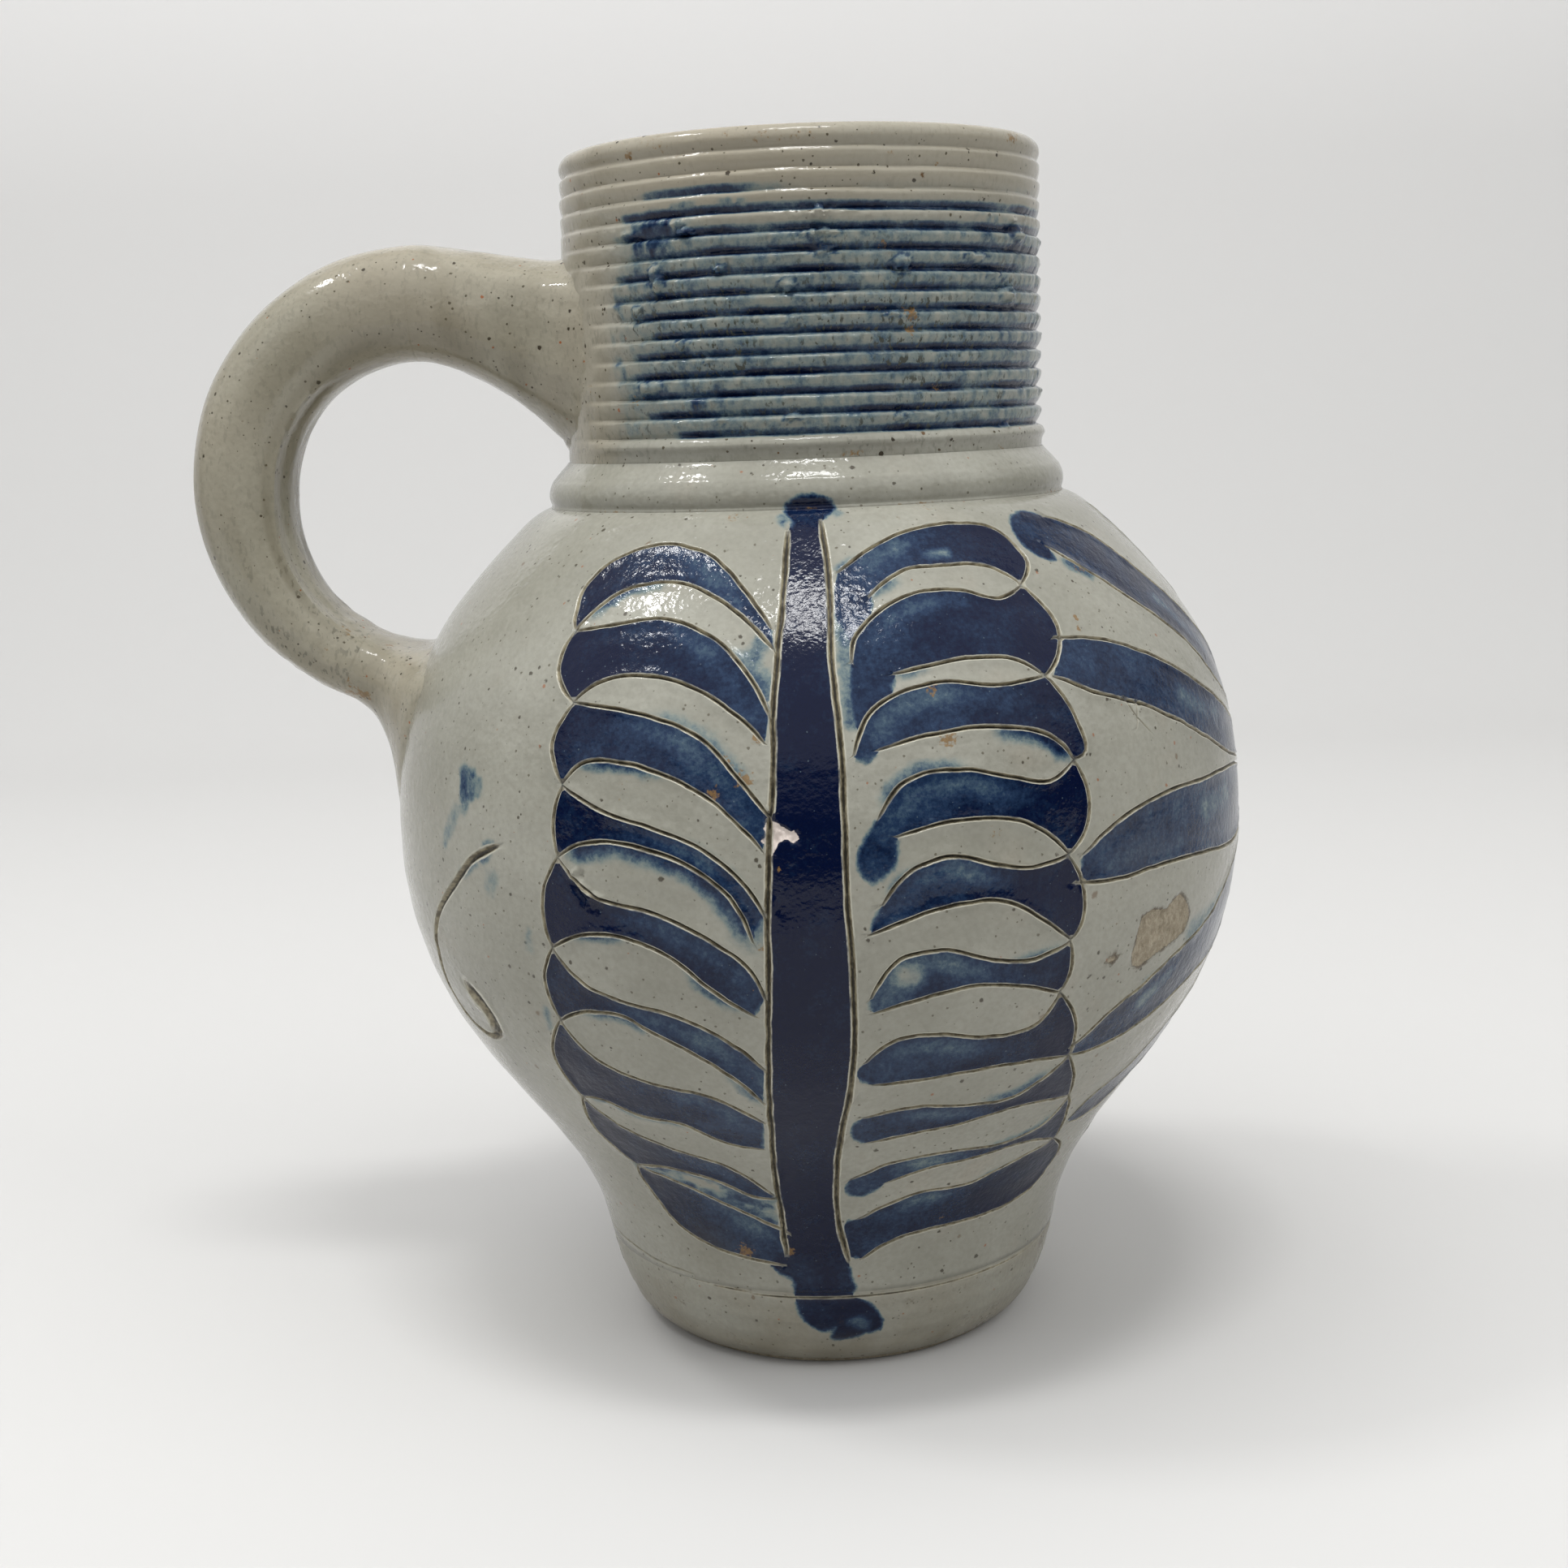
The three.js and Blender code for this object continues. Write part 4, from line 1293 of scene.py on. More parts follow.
def ribs_at(places, height):
    """Depth of the wall between the ribs, the number of the groove above each place, and how far
    below it the place lies in groove distances. A rib stands out sharply under the groove above it
    and falls away slowly to the groove below."""
    drift = 0.14 * smooth_noise(places, 22, seed=20) + 0.07 * smooth_noise(places, 6, seed=21)
    level = (height + drift - LOWEST_GROOVE) / GROOVE_PITCH
    above = np.clip(np.ceil(level), 0, GROOVE_COUNT)
    share = above - level
    deep = 0.85 - 0.3 * smoothstep(GROOVE_COUNT - 5, GROOVE_COUNT - 2, level)
    deep = deep * (1 + 0.22 * smooth_noise(places, 14, seed=23))
    step = 1 - smoothstep(0, 0.2, share)
    fall = (np.maximum(share - 0.35, 0) / 0.65) ** 1.7
    over_top = (level - GROOVE_COUNT + 1) * GROOVE_PITCH
    at_top = above == GROOVE_COUNT
    fall = np.where(at_top, 1 - smoothstep(0, 1.4, over_top), np.where(above == 0, 0, fall))
    return deep * np.maximum(np.where(at_top, 0, step), fall), above, share


def neck_paint(degrees, height, places, above, share):
    """Cobalt that ran into the grooves and over the ribs."""
    starts, strengths = np.array(NECK_PAINT).T
    ragged = 3 * smooth_noise(places * [1, 1, 0.6], 2.5, seed=30)
    paint = np.zeros(len(places))
    groove_below = (above - 1, smoothstep(0.52, 0.84, share))
    groove_above = (above, 1 - smoothstep(0.05, 0.14, share))
    for number, cover in (groove_below, groove_above):
        known = (number >= 0) & (number < len(starts))
        groove = np.clip(number, 0, len(starts) - 1).astype(int)
        turn = degrees + ragged
        length = smoothstep(starts[groove] - 2, starts[groove] + 5, turn)
        length *= 1 - smoothstep(NECK_PAINT_END - 4, NECK_PAINT_END + 3, turn)
        place = np.stack([degrees / 8, groove * 3.1, 0 * degrees], axis=1)
        patchy = np.clip(0.92 + 0.4 * smooth_noise(place, 1, seed=26), 0.45, 1.1)
        faded = np.where(groove == len(starts) - 1, 1 - 0.85 * smoothstep(-16, 2, degrees), 1)
        paint = np.maximum(paint, known * strengths[groove] * length * patchy * faded * cover)
    wash = np.zeros(len(places))
    for (turn, level), half_turn, half_height, strength in NECK_WASHES:
        off = np.hypot((degrees - turn) / half_turn, (height - level) / half_height)
        wash = np.maximum(wash, strength * (1 - smoothstep(0.4, 1.1, off)))
    region = smoothstep(-50, -42, degrees + ragged) * (1 - smoothstep(222, 232, degrees + ragged))
    region *= smoothstep(LOWEST_GROOVE - 1, LOWEST_GROOVE + 1, height)
    region *= 1 - smoothstep(RIM - 17, RIM - 13, height)
    streaks = np.clip(0.6 + 0.9 * smooth_noise(places * [1, 1, 0.5], 0.9, seed=27), 0, 1.5)
    return np.maximum(paint, np.maximum(wash * streaks, region * (0.17 + 0.13 * streaks))), region


def crumbs_at(degrees, height, jagged):
    """How far the crumbs of clay stand out, and where paint pooled round them in a dark ring that is also
    painted shade.
    """
    crumb = np.zeros(len(degrees))
    pool_and_shade = np.zeros(len(degrees))
    for (turn, level), half_length, half_height, proud in CRUMBS:
        along = (degrees - turn) * math.radians(NECK_RADIUS)
        off = np.hypot(along / half_length, (height - level) / half_height) / CRUMB_SPREAD + jagged
        crumb = np.maximum(crumb, proud * (1 - smoothstep(0.55, 1.15, off)))
        pool_and_shade = np.maximum(pool_and_shade, np.exp(-(((off - 1.35) / 0.35) ** 2)))
    return crumb, pool_and_shade


def neck_rust(degrees, height, places, jagged):
    """Rust in spots, in the hollow above the cordon and on the lip."""
    rust = np.zeros(len(places))
    for (turn, level), size, strength in NECK_RUST:
        off = np.hypot((degrees - turn) * math.radians(NECK_RADIUS), height - level) / size
        rust = np.maximum(rust, strength * np.exp(-((off + 0.5 * jagged) ** 2)))
    hollow = np.exp(-(((height - CORDON_HEAD - 0.6) / 0.9) ** 2))
    hollow *= np.clip(smooth_noise(places, 7, seed=29) + 0.1, 0, 1)
    lip = 0.7 * smoothstep(RIM - 6, RIM - 1, height) * np.clip(smooth_noise(places, 5, seed=53), 0, 1)
    return np.maximum(np.maximum(rust, 0.6 * hollow), lip)


def neck():
    piece = spun("neck_ribbed", ribbed_profile(), NECK_COLUMNS)
    places = places_of(piece)
    degrees, radius, height = on_the_pot(places)
    outer_side = radius > BORE_RADIUS + 1.5
    ribs = (radius > BORE_RADIUS + 2.6) & (height > CORDON_TOP - 0.5) & (height < RIM - 1.9)
    depth, above, share = ribs_at(places, height)

    # The ribs fade where the handle's clay was smoothed over them
    turn_off = np.degrees(np.arctan2(places[:, 1], -places[:, 0]))
    reach = np.hypot(turn_off / LUTE_HALF_TURN, (height - LUTE_MIDDLE) / LUTE_HALF_HEIGHT)
    shown = smoothstep(0.9, 1.8, reach + 0.16 * smooth_noise(places, 5, seed=19))
    amount = -depth * shown

    # Tears along the crests, pits, and dragged crumbs of clay
    painted_band = smoothstep(SHOULDER + 8, SHOULDER + 12, height)
    painted_band *= 1 - smoothstep(RIM - 14, RIM - 10, height)
    tears = np.clip(smooth_noise(places, 1.1, seed=24) - 0.35, 0, 1) * np.exp(-(((share - 0.3) / 0.2) ** 2))
    pits = np.clip(smooth_noise(places * [1, 1, 0.6], 1.0, seed=33) - 0.4, 0, 1)
    amount += (0.55 * tears - 0.5 * pits) * painted_band * shown
    jagged = 0.5 * smooth_noise(places, 0.9, seed=25) + 0.3 * smooth_noise(places, 0.5, seed=34)
    crumb, pool_and_shade = crumbs_at(degrees, height, jagged)
    amount += CRUMB_PROUD * crumb * np.clip(0.8 + 0.9 * jagged, 0.2, 1.5)
    amount += np.minimum(crumb, 1) * depth * 0.7
    amount = np.where(ribs, amount, 0)

    # The neck swells a little below its lowest groove, and its wall and lip are uneven
    amount += 0.6 * np.exp(-(((height - LOWEST_GROOVE + 1.5) / 0.8) ** 2)) * shown * outer_side
    amount += np.where(outer_side, unevenness(places), 0) * smoothstep(SHOULDER, SHOULDER + 6, height)
    lip_dents = 0.12 * smooth_noise(places, 9, seed=35) * smoothstep(RIM - 8, RIM - 3, height)
    amount += np.where(outer_side, lip_dents, 0)
    move_to(piece, lean(push_out(places, amount)))

    paint, region = neck_paint(degrees, height, places, above, share)
    paint = paint * shown * (1 - np.minimum(0.4 * crumb, 0.35))
    # A dark ring of cobalt round each crumb: pooled paint and painted shade
    give_on(piece, ribs, {"bleed": np.maximum(paint, 0.6 * pool_and_shade * region * (crumb < 0.3))})
    flecks = np.clip(0.75 + 0.9 * smooth_noise(places, 6, seed=28), 0.15, 1)
    flecks *= 0.3 + 0.7 * smoothstep(0.22, 0.42, share)
    flecks *= 1 - 0.6 * smoothstep(RIM - 30, RIM - 16, height)
    give(piece, "fleck", np.where(ribs, flecks * np.maximum(region, 0.3), 0.12) * outer_side)
    give(piece, "inside", ((radius < BORE_RADIUS + 0.3) & (height < RIM - 3)).astype(float))
    warm = smoothstep(RIM - 17, RIM - 7, height) * (0.85 + 0.3 * smooth_noise(places, 12, seed=36))
    by_handle = smoothstep(-42, -56, degrees)
    give_on(piece, outer_side, {
        "stain": neck_rust(degrees, height, places, jagged),
        "warm": np.maximum(warm, 0.7 * by_handle),
        "brown": 0.3 * by_handle * np.clip(smooth_noise(places, 4, seed=55), 0, 1),
    })
    crease_flats(piece)
    return piece


def cordon():
    """The rounded band round the foot of the neck. It swells low down and runs out hollow above."""
    bulge = node_corners("neck_cordon")[1][0] - NECK_RADIUS
    curve = bezier(
        [
            (NECK_RADIUS + bulge - 0.9, CORDON_FOOT),
            (NECK_RADIUS + bulge + 0.9, CORDON_FOOT + 1.6),
            (NECK_RADIUS + bulge + 0.3, CORDON_HEAD - 2.6),
            (NECK_RADIUS + 1.3, CORDON_HEAD - 1.6),
            (NECK_RADIUS + 0.35, CORDON_HEAD),
        ],
        np.linspace(0, 1, 36),
    )
    profile = [(NECK_RADIUS + 0.05, CORDON_FOOT), *curve, (NECK_RADIUS + 0.05, CORDON_HEAD)]
    piece = spun("neck_cordon_turned", profile, CORDON_COLUMNS)
    places = places_of(piece)
    degrees, radius, height = on_the_pot(places)
    outer_side = radius > NECK_RADIUS + 0.3
    fillet = 0.7 * np.exp(-(((height - CORDON_FOOT) / 0.4) ** 2))
    over_ledge = height - CORDON_FOOT - 4.9 - 0.4 * smooth_noise(places, 26, seed=31)
    ledge = 0.12 * smoothstep(-0.25, 0.25, over_ledge)
    dents = 0.12 * smooth_noise(places, 6, seed=37)
    amount = np.where(outer_side, unevenness(places) + fillet - ledge + dents, 0)
    move_to(piece, lean(push_out(places, amount)))
    low_joint = np.exp(-(((height - CORDON_FOOT) / 0.8) ** 2))
    low_joint *= np.clip(smooth_noise(places, 8, seed=32) + 0.3, 0, 1)
    give_on(piece, outer_side, {
        **paint_attributes(flat_on_pot(degrees, height + SHOULDER_SINK), places),
        "stain": 0.7 * low_joint,
    })
    crease_flats(piece)
    return piece


# The handle

SECTION_POINTS = 64
STRAP_START, STRAP_END = 90, 245
# The strap's ends narrow by this factor and run on by this much inside the clay that holds them
END_NARROWING = 0.94
END_RUN = 0.8
# A pattern drawn along the strap lies on a round section of this radius
DRAWN_RADIUS = 12
# Extent on the neck of the clay that holds the handle
LUTE_HALF_TURN = 33
LUTE_MIDDLE = SHOULDER + 24
LUTE_HALF_HEIGHT = 17.2
# Top, widest place and bottom of the clay on the belly
LOWER_LUTE_HEIGHTS = (126.5, 116.5, 87.5)
LUTE_ROWS = 40
SECTION_TURNS = 2 * math.pi * np.arange(SECTION_POINTS) / SECTION_POINTS


def thickness_at(angle):
    angles = sorted(HANDLE_THICKNESS)
    return float(np.interp(angle, angles, [HANDLE_THICKNESS[known] for known in angles]))


def signed_power(value, power):
    return np.sign(value) * np.abs(value) ** power


def strap_ring(angle):
    """The strap's section where its arc has come round to an angle."""
    turn = math.radians(angle)
    arc = float(np.interp(angle, [180, STRAP_END], [HANDLE_ARC, HANDLE_ARC_LOW]))
    middle = np.array([HANDLE_X + arc * math.cos(turn), 0, HANDLE_Z + arc * math.sin(turn)])
    out = np.array([math.cos(turn), 0, math.sin(turn)])
    rise = np.sin(SECTION_TURNS)
    height = signed_power(rise, np.where(rise > 0, 0.95, 0.72)) * thickness_at(angle) / 2
    across = signed_power(np.cos(SECTION_TURNS), 0.86) * HANDLE_WIDTH / 2
    ring = middle + np.outer(height, out)
    ring[:, 1] += across
    return ring


def strap_way(angle):
    """The direction in which the strap runs on at an angle of its arc."""
    turn = math.radians(angle + 90)
    return np.array([math.cos(turn), 0, math.sin(turn)])


def skin(rings):
    """Corners and faces over rings with the same number of corners, with a flat lid at each end."""
    size = len(rings[0])
    faces = []
    for row in range(len(rings) - 1):
        for i in range(size):
            j = (i + 1) % size
            a, b = row * size + i, row * size + j
            faces.append([a, b, b + size, a + size])
    last = size * (len(rings) - 1)
    faces.append(list(range(size))[::-1])
    faces.append([last + i for i in range(size)])
    return np.vstack(rings), faces


def swell(rings, amount):
    """Moves the corners of rings away from each ring's middle."""
    places = np.vstack(rings)
    middles = np.repeat([ring.mean(axis=0) for ring in rings], len(rings[0]), axis=0)
    away = places - middles
    return places + away / np.linalg.norm(away, axis=1)[:, None] * amount[:, None]


def strap_dents(places):
    """Dents of the pulled clay."""
    return 0.32 * smooth_noise(places, 24, seed=41) + 0.1 * smooth_noise(places, 7, seed=42) - 0.12


def ridge_at(section, where, width):
    return np.exp(-(((section / math.pi - where) / width) ** 2))


def drawn_along(section, along, pitch):
    """Places for noise that is drawn out along the strap by a pitch for each degree of its arc."""
    return np.stack([DRAWN_RADIUS * np.cos(section), DRAWN_RADIUS * np.sin(section), along * pitch], axis=1)


def run_on(ring, way):
    """A strap's end narrowed and moved on in a direction."""
    middle = ring.mean(axis=0)
    return middle + END_NARROWING * (ring - middle) + END_RUN * way


def warmth(corners):
    """Warm clouds that go on from the strap over the clay at its ends."""
    return 0.45 + 0.35 * smooth_noise(corners, 14, seed=40)


def handle():
    """The pulled strap, with ridges and streaks drawn along it between the fingers."""
    angles = np.linspace(STRAP_START, STRAP_END, 170)
    rings = [strap_ring(angle) for angle in angles]
    places = np.vstack(rings)
    section = np.tile(SECTION_TURNS, len(rings))
    along = np.repeat(angles, SECTION_POINTS)
    drawn = smoothstep(100, 150, along) * (1 - smoothstep(228, 243, along))
    ledge = 0.75 * (ridge_at(section, 1.22, 0.035) + ridge_at(section, 1.78, 0.035))
    ledge = ledge + 0.25 * (ridge_at(section, 0.8, 0.06) + ridge_at(section, 0.2, 0.06))
    hollow = 0.5 * (ridge_at(section, 1.32, 0.06) + ridge_at(section, 1.68, 0.06))
    hollow = hollow + 0.3 * ridge_at(section, 1.5, 0.15)
    streaks = 0.14 * smooth_noise(drawn_along(section, along, 0.12), 1.6, seed=38)
    streaks *= smoothstep(96, 115, along) * (1 - smoothstep(236, 244, along))
    lumps = 0.22 * np.clip(smooth_noise(places, 2.2, seed=39), -1, 1) * smoothstep(212, 232, along)
    lumps *= 1 - smoothstep(240, 244, along)
    shaped = swell(rings, strap_dents(places) + drawn * (ledge - hollow) + streaks + lumps)
    first = run_on(shaped[:SECTION_POINTS], -strap_way(STRAP_START))
    last = run_on(shaped[-SECTION_POINTS:], strap_way(STRAP_END))
    corners, faces = skin([first, *shaped.reshape(len(rings), SECTION_POINTS, 3), last])
    piece = mesh_object("handle_strap", corners, faces)
    face_outwards(piece)

    along = np.concatenate([along[:SECTION_POINTS], along, along[-SECTION_POINTS:]])
    section = np.concatenate([section[:SECTION_POINTS], section, section[-SECTION_POINTS:]])
    low_end = np.clip(smooth_noise(corners, 3.2, seed=43) - 0.1, 0, 1) * smoothstep(200, 232, along)
    drawn_streaks = np.clip(0.4 + 1.2 * smooth_noise(drawn_along(section, along, 0.07), 2.2, seed=54), 0, 1)
    drawn_on = smoothstep(91, 100, along) * (1 - smoothstep(236, 244, along))
    # Brown streaks, stronger on the strap's inner side, where they are also painted shade
    under = ridge_at(section, 1.5, 0.42) * smoothstep(92, 118, along)
    under *= 1 - 0.7 * smoothstep(205, 235, along)
    give(piece, "stain", 0.9 * low_end)
    give(piece, "brown", (0.15 + 0.6 * under) * drawn_streaks * drawn_on)
    give(piece, "warm", warmth(corners))
    give(piece, "fleck", 0.15 + 0.5 * drawn_streaks * smoothstep(190, 225, along))
    crease_flats(piece)
    return piece


def flowing(start, start_way, end, end_way, shares):
    """Rings that leave one ring in its direction and arrive at another in that one's."""
    rings = []
    for s in shares:
        leave = 2 * s**3 - 3 * s**2 + 1
        arrive = 3 * s**2 - 2 * s**3
        rings.append(
            leave * start + (s**3 - 2 * s**2 + s) * start_way
            + arrive * end + (s**3 - s**2) * end_way
        )
    return rings


def pressed(name, start, start_way, end, end_way, dent_size, leaning):
    """Clay pressed round an end of the strap and smoothed out over the wall behind it."""
    rings = flowing(start, start_way, end, end_way, np.linspace(0, 1, LUTE_ROWS))
    rings.append(end * [0.97, 0.97, 1])
    rows = np.repeat(np.arange(len(rings)), SECTION_POINTS) / (LUTE_ROWS - 1)
    places = np.vstack(rings)
    dents = 0.9 * smooth_noise(places, 8, seed=44) + 0.45 * smooth_noise(places, 3.2, seed=45)
    dents = dent_size * dents * smoothstep(0, 0.2, rows) * (1 - smoothstep(0.75, 0.96, rows))
    shaped = swell(rings, dents)
    if leaning:
        share = smoothstep(0, 1, rows)[:, None]
        shaped = shaped * (1 - share) + lean(shaped) * share
    corners, faces = skin(shaped.reshape(len(rings), SECTION_POINTS, 3))
    piece = mesh_object(name, corners, faces)
    face_outwards(piece)
    give(piece, "warm", warmth(corners))
    smeared = np.clip(0.2 + smooth_noise(corners * [1, 1, 0.5], 4, seed=55), 0, 1)
    give(piece, "brown", 0.6 * smeared * smoothstep(0, 0.25, rows) * (1 - rows))
    give(piece, "fleck", np.full(len(corners), 0.15))
    return piece, rows, corners


def strap_end(angle):
    """The strap's shaped section at one of its ends."""
    ring = strap_ring(angle)
    return swell([ring], strap_dents(ring))


def upper_lute():
    """The clay between the strap and the neck. It flares and thins out over the ribs."""
    rise = np.sin(SECTION_TURNS)
    up = signed_power(rise, np.where(rise > 0, 0.95, 0.8))
    side = signed_power(np.cos(SECTION_TURNS), 0.9)
    heights = LUTE_MIDDLE + up * LUTE_HALF_HEIGHT
    wavy = smooth_noise(np.stack([12 * side, 12 * up, 0 * up], axis=1), 5, seed=52)
    turn = np.radians(LUTE_HALF_TURN) * side * (1 + 0.09 * wavy)
    radius = neck_radius(heights) - 0.3
    end = np.stack([-radius * np.cos(turn), radius * np.sin(turn), heights], axis=1)
    flare = 12 + 18 * np.abs(side)
    end_way = np.stack([
        np.sin(turn) * side * flare, np.cos(turn) * side * flare, up * np.where(rise > 0, 7, 15),
    ], axis=1)
    start_way = np.tile(-strap_way(STRAP_START), (SECTION_POINTS, 1)) * 24
    piece, rows, corners = pressed(
        "upper_lute_pressed", strap_end(STRAP_START), start_way, end, end_way, 0.4, leaning=True
    )
    # The ribs still show through its thin edge
    depth, _, _ = ribs_at(corners, corners[:, 2])
    move_to(piece, push_out(corners, -0.8 * depth * smoothstep(0.7, 0.94, rows)))
    crease_flats(piece)
    return piece


def lower_lute():
    """The clay between the strap's lower end and the belly, with the tail smoothed down the belly.
    The strap's outer side faces down here."""
    down = np.sin(SECTION_TURNS)
    side = signed_power(np.cos(SECTION_TURNS), 0.9)
    top, middle, bottom = LOWER_LUTE_HEIGHTS
    tail = middle - (middle - bottom) * np.abs(down) ** 1.25
    smear = middle + (top - middle) * np.abs(down) ** 0.8
    heights = np.where(down > 0, tail, smear)
    smeared = smoothstep(-0.15, 0.6, -down)
    turn = np.sign(side) * np.radians(18 + 8 * smeared) * np.abs(side) ** np.where(down > 0, 1.6, 1.0)
    radial, upward = outward(arc_at(heights))
    radius = belly_radius(heights) - 0.45 * radial - 0.1
    end = np.stack([-radius * np.cos(turn), radius * np.sin(turn), heights - 0.45 * upward], axis=1)
    length = np.where(down > 0, 14 + 26 * down, 16)
    # The wide smear above thins out sideways, the tail below stands up from the wall
    end_way = np.stack([-down * upward * length, side * (4 + 15 * smeared), -down * radial * length], axis=1)
    inwards = -np.stack([-radial * np.cos(turn), radial * np.sin(turn), upward], axis=1)
    end_way += inwards * (8 * (1 - smeared) * np.abs(side))[:, None]
    start_way = np.outer(np.where(down > 0, 26 + 4 * down, 26), strap_way(STRAP_END))
    piece, rows, corners = pressed(
        "lower_lute_pressed", strap_end(STRAP_END), start_way, end, end_way, 0.55, leaning=False
    )
    stain = np.clip(smooth_noise(corners, 3.4, seed=48) - 0.15, 0, 1) * (1 - smoothstep(0.15, 0.6, rows))
    give(piece, "stain", 1.1 * stain)
    crease_flats(piece)
    return piece


# Materials

def add(tree, kind, sockets=None, **settings):
    """Adds a node, sets its properties, and fills or links its inputs."""
    made = tree.nodes.new(kind)
    for label, value in settings.items():
        setattr(made, label, value)
    for socket, value in (sockets or {}).items():
        if isinstance(value, bpy.types.NodeSocket):
            tree.links.new(value, made.inputs[socket])
        else:
            made.inputs[socket].default_value = value
    return made


def calc(tree, operation, first, second):
    return add(tree, "ShaderNodeMath", {0: first, 1: second}, operation=operation).outputs[0]


def tint(tree, amount, under, over):
    """One colour laid over another by an amount."""
    return add(tree, "ShaderNodeMix", {0: amount, 6: under, 7: over}, data_type="RGBA").outputs[2]


def ranged(tree, value, low, high, to_low=0.0, to_high=1.0):
    """A value brought from one range to another, with soft ends."""
    sockets = {"Value": value, "From Min": low, "From Max": high, "To Min": to_low, "To Max": to_high}
    return add(tree, "ShaderNodeMapRange", sockets, interpolation_type="SMOOTHSTEP").outputs[0]


def rgb(red, green, blue):
    return (red, green, blue, 1.0)


def noise_on(tree, place, size, detail=3.0, rough=0.55, seed=0.0):
    """Noise with bumps of a size in millimetres."""
    sockets = {"Vector": place, "W": seed, "Scale": 1 / (size * MM), "Detail": detail, "Roughness": rough}
    return add(tree, "ShaderNodeTexNoise", sockets, noise_dimensions="4D").outputs["Fac"]


def specks_on(tree, place, spacing, radius, seed=0.0):
    """Sparse dots of all sizes up to a radius, 1 in a dot and 0 outside."""
    moved = add(tree, "ShaderNodeVectorMath", {0: place, 1: (seed, seed * 0.7, seed * 0.3)}, operation="ADD")
    cells = add(tree, "ShaderNodeTexVoronoi", {"Vector": moved.outputs[0], "Scale": 1 / (spacing * MM)})
    size = calc(tree, "MULTIPLY", cells.outputs["Color"], radius / spacing)
    ratio = calc(tree, "DIVIDE", cells.outputs["Distance"], size)
    uneven = calc(tree, "MULTIPLY", noise_on(tree, place, radius, seed=seed), 1.6)
    return ranged(tree, calc(tree, "ADD", ratio, uneven), 1.3, 1.8, 1.0, 0.0)


# Colours of the cobalt from a thin wash to a thick coat
COBALT_STEPS = [
    (0.0, rgb(0.24, 0.265, 0.235)),
    (0.25, rgb(0.145, 0.19, 0.195)),
    (0.45, rgb(0.050, 0.085, 0.125)),
    (0.65, rgb(0.015, 0.034, 0.078)),
    (0.85, rgb(0.004, 0.012, 0.038)),
    (1.0, rgb(0.001, 0.004, 0.024)),
]

# Colours of the clay, of what lies in or on it, and of painted shade and highlights. A pair is mottled from
# its first to its second.
WARM_CLOUD = rgb(0.37, 0.31, 0.24)
WARM_CLAY = rgb(0.35, 0.31, 0.235)
GRAIN = rgb(0.16, 0.15, 0.12)
DARK_SPECK = rgb(0.09, 0.075, 0.05)
DARKEST_SPECK = rgb(0.05, 0.04, 0.028)
RUSTY_SPECK = rgb(0.28, 0.10, 0.04)
BROWN_SPECK = rgb(0.13, 0.075, 0.035)
SPECK_IN_BLUE = rgb(0.10, 0.14, 0.17)
FLECK = rgb(0.05, 0.053, 0.04)
RUST = (rgb(0.10, 0.055, 0.018), rgb(0.33, 0.19, 0.065))
# Brown smears, and on the strap's inner side painted shade
BROWN_SMEAR_AND_SHADE = rgb(0.14, 0.12, 0.075)
# The lips of a cut: thinner glaze with a painted highlight
LINE_LIP_THIN_GLAZE_AND_HIGHLIGHT = rgb(0.46, 0.445, 0.365)
LINE_CLAY = (rgb(0.125, 0.105, 0.068), rgb(0.32, 0.285, 0.195))
# The bottom of a cut: painted shade
LINE_BOTTOM_SHADE = rgb(0.03, 0.026, 0.018)
CHIPPED_CLAY = (rgb(0.5, 0.43, 0.38), rgb(0.86, 0.76, 0.70))
BARE_CLAY = (rgb(0.24, 0.20, 0.14), rgb(0.45, 0.395, 0.30))
BARE_RIM = rgb(0.085, 0.06, 0.035)
INSIDE_COLOUR = rgb(0.17, 0.145, 0.11)
GLAZE_IOR = 1.43
GLAZE_SPECULAR = 0.36


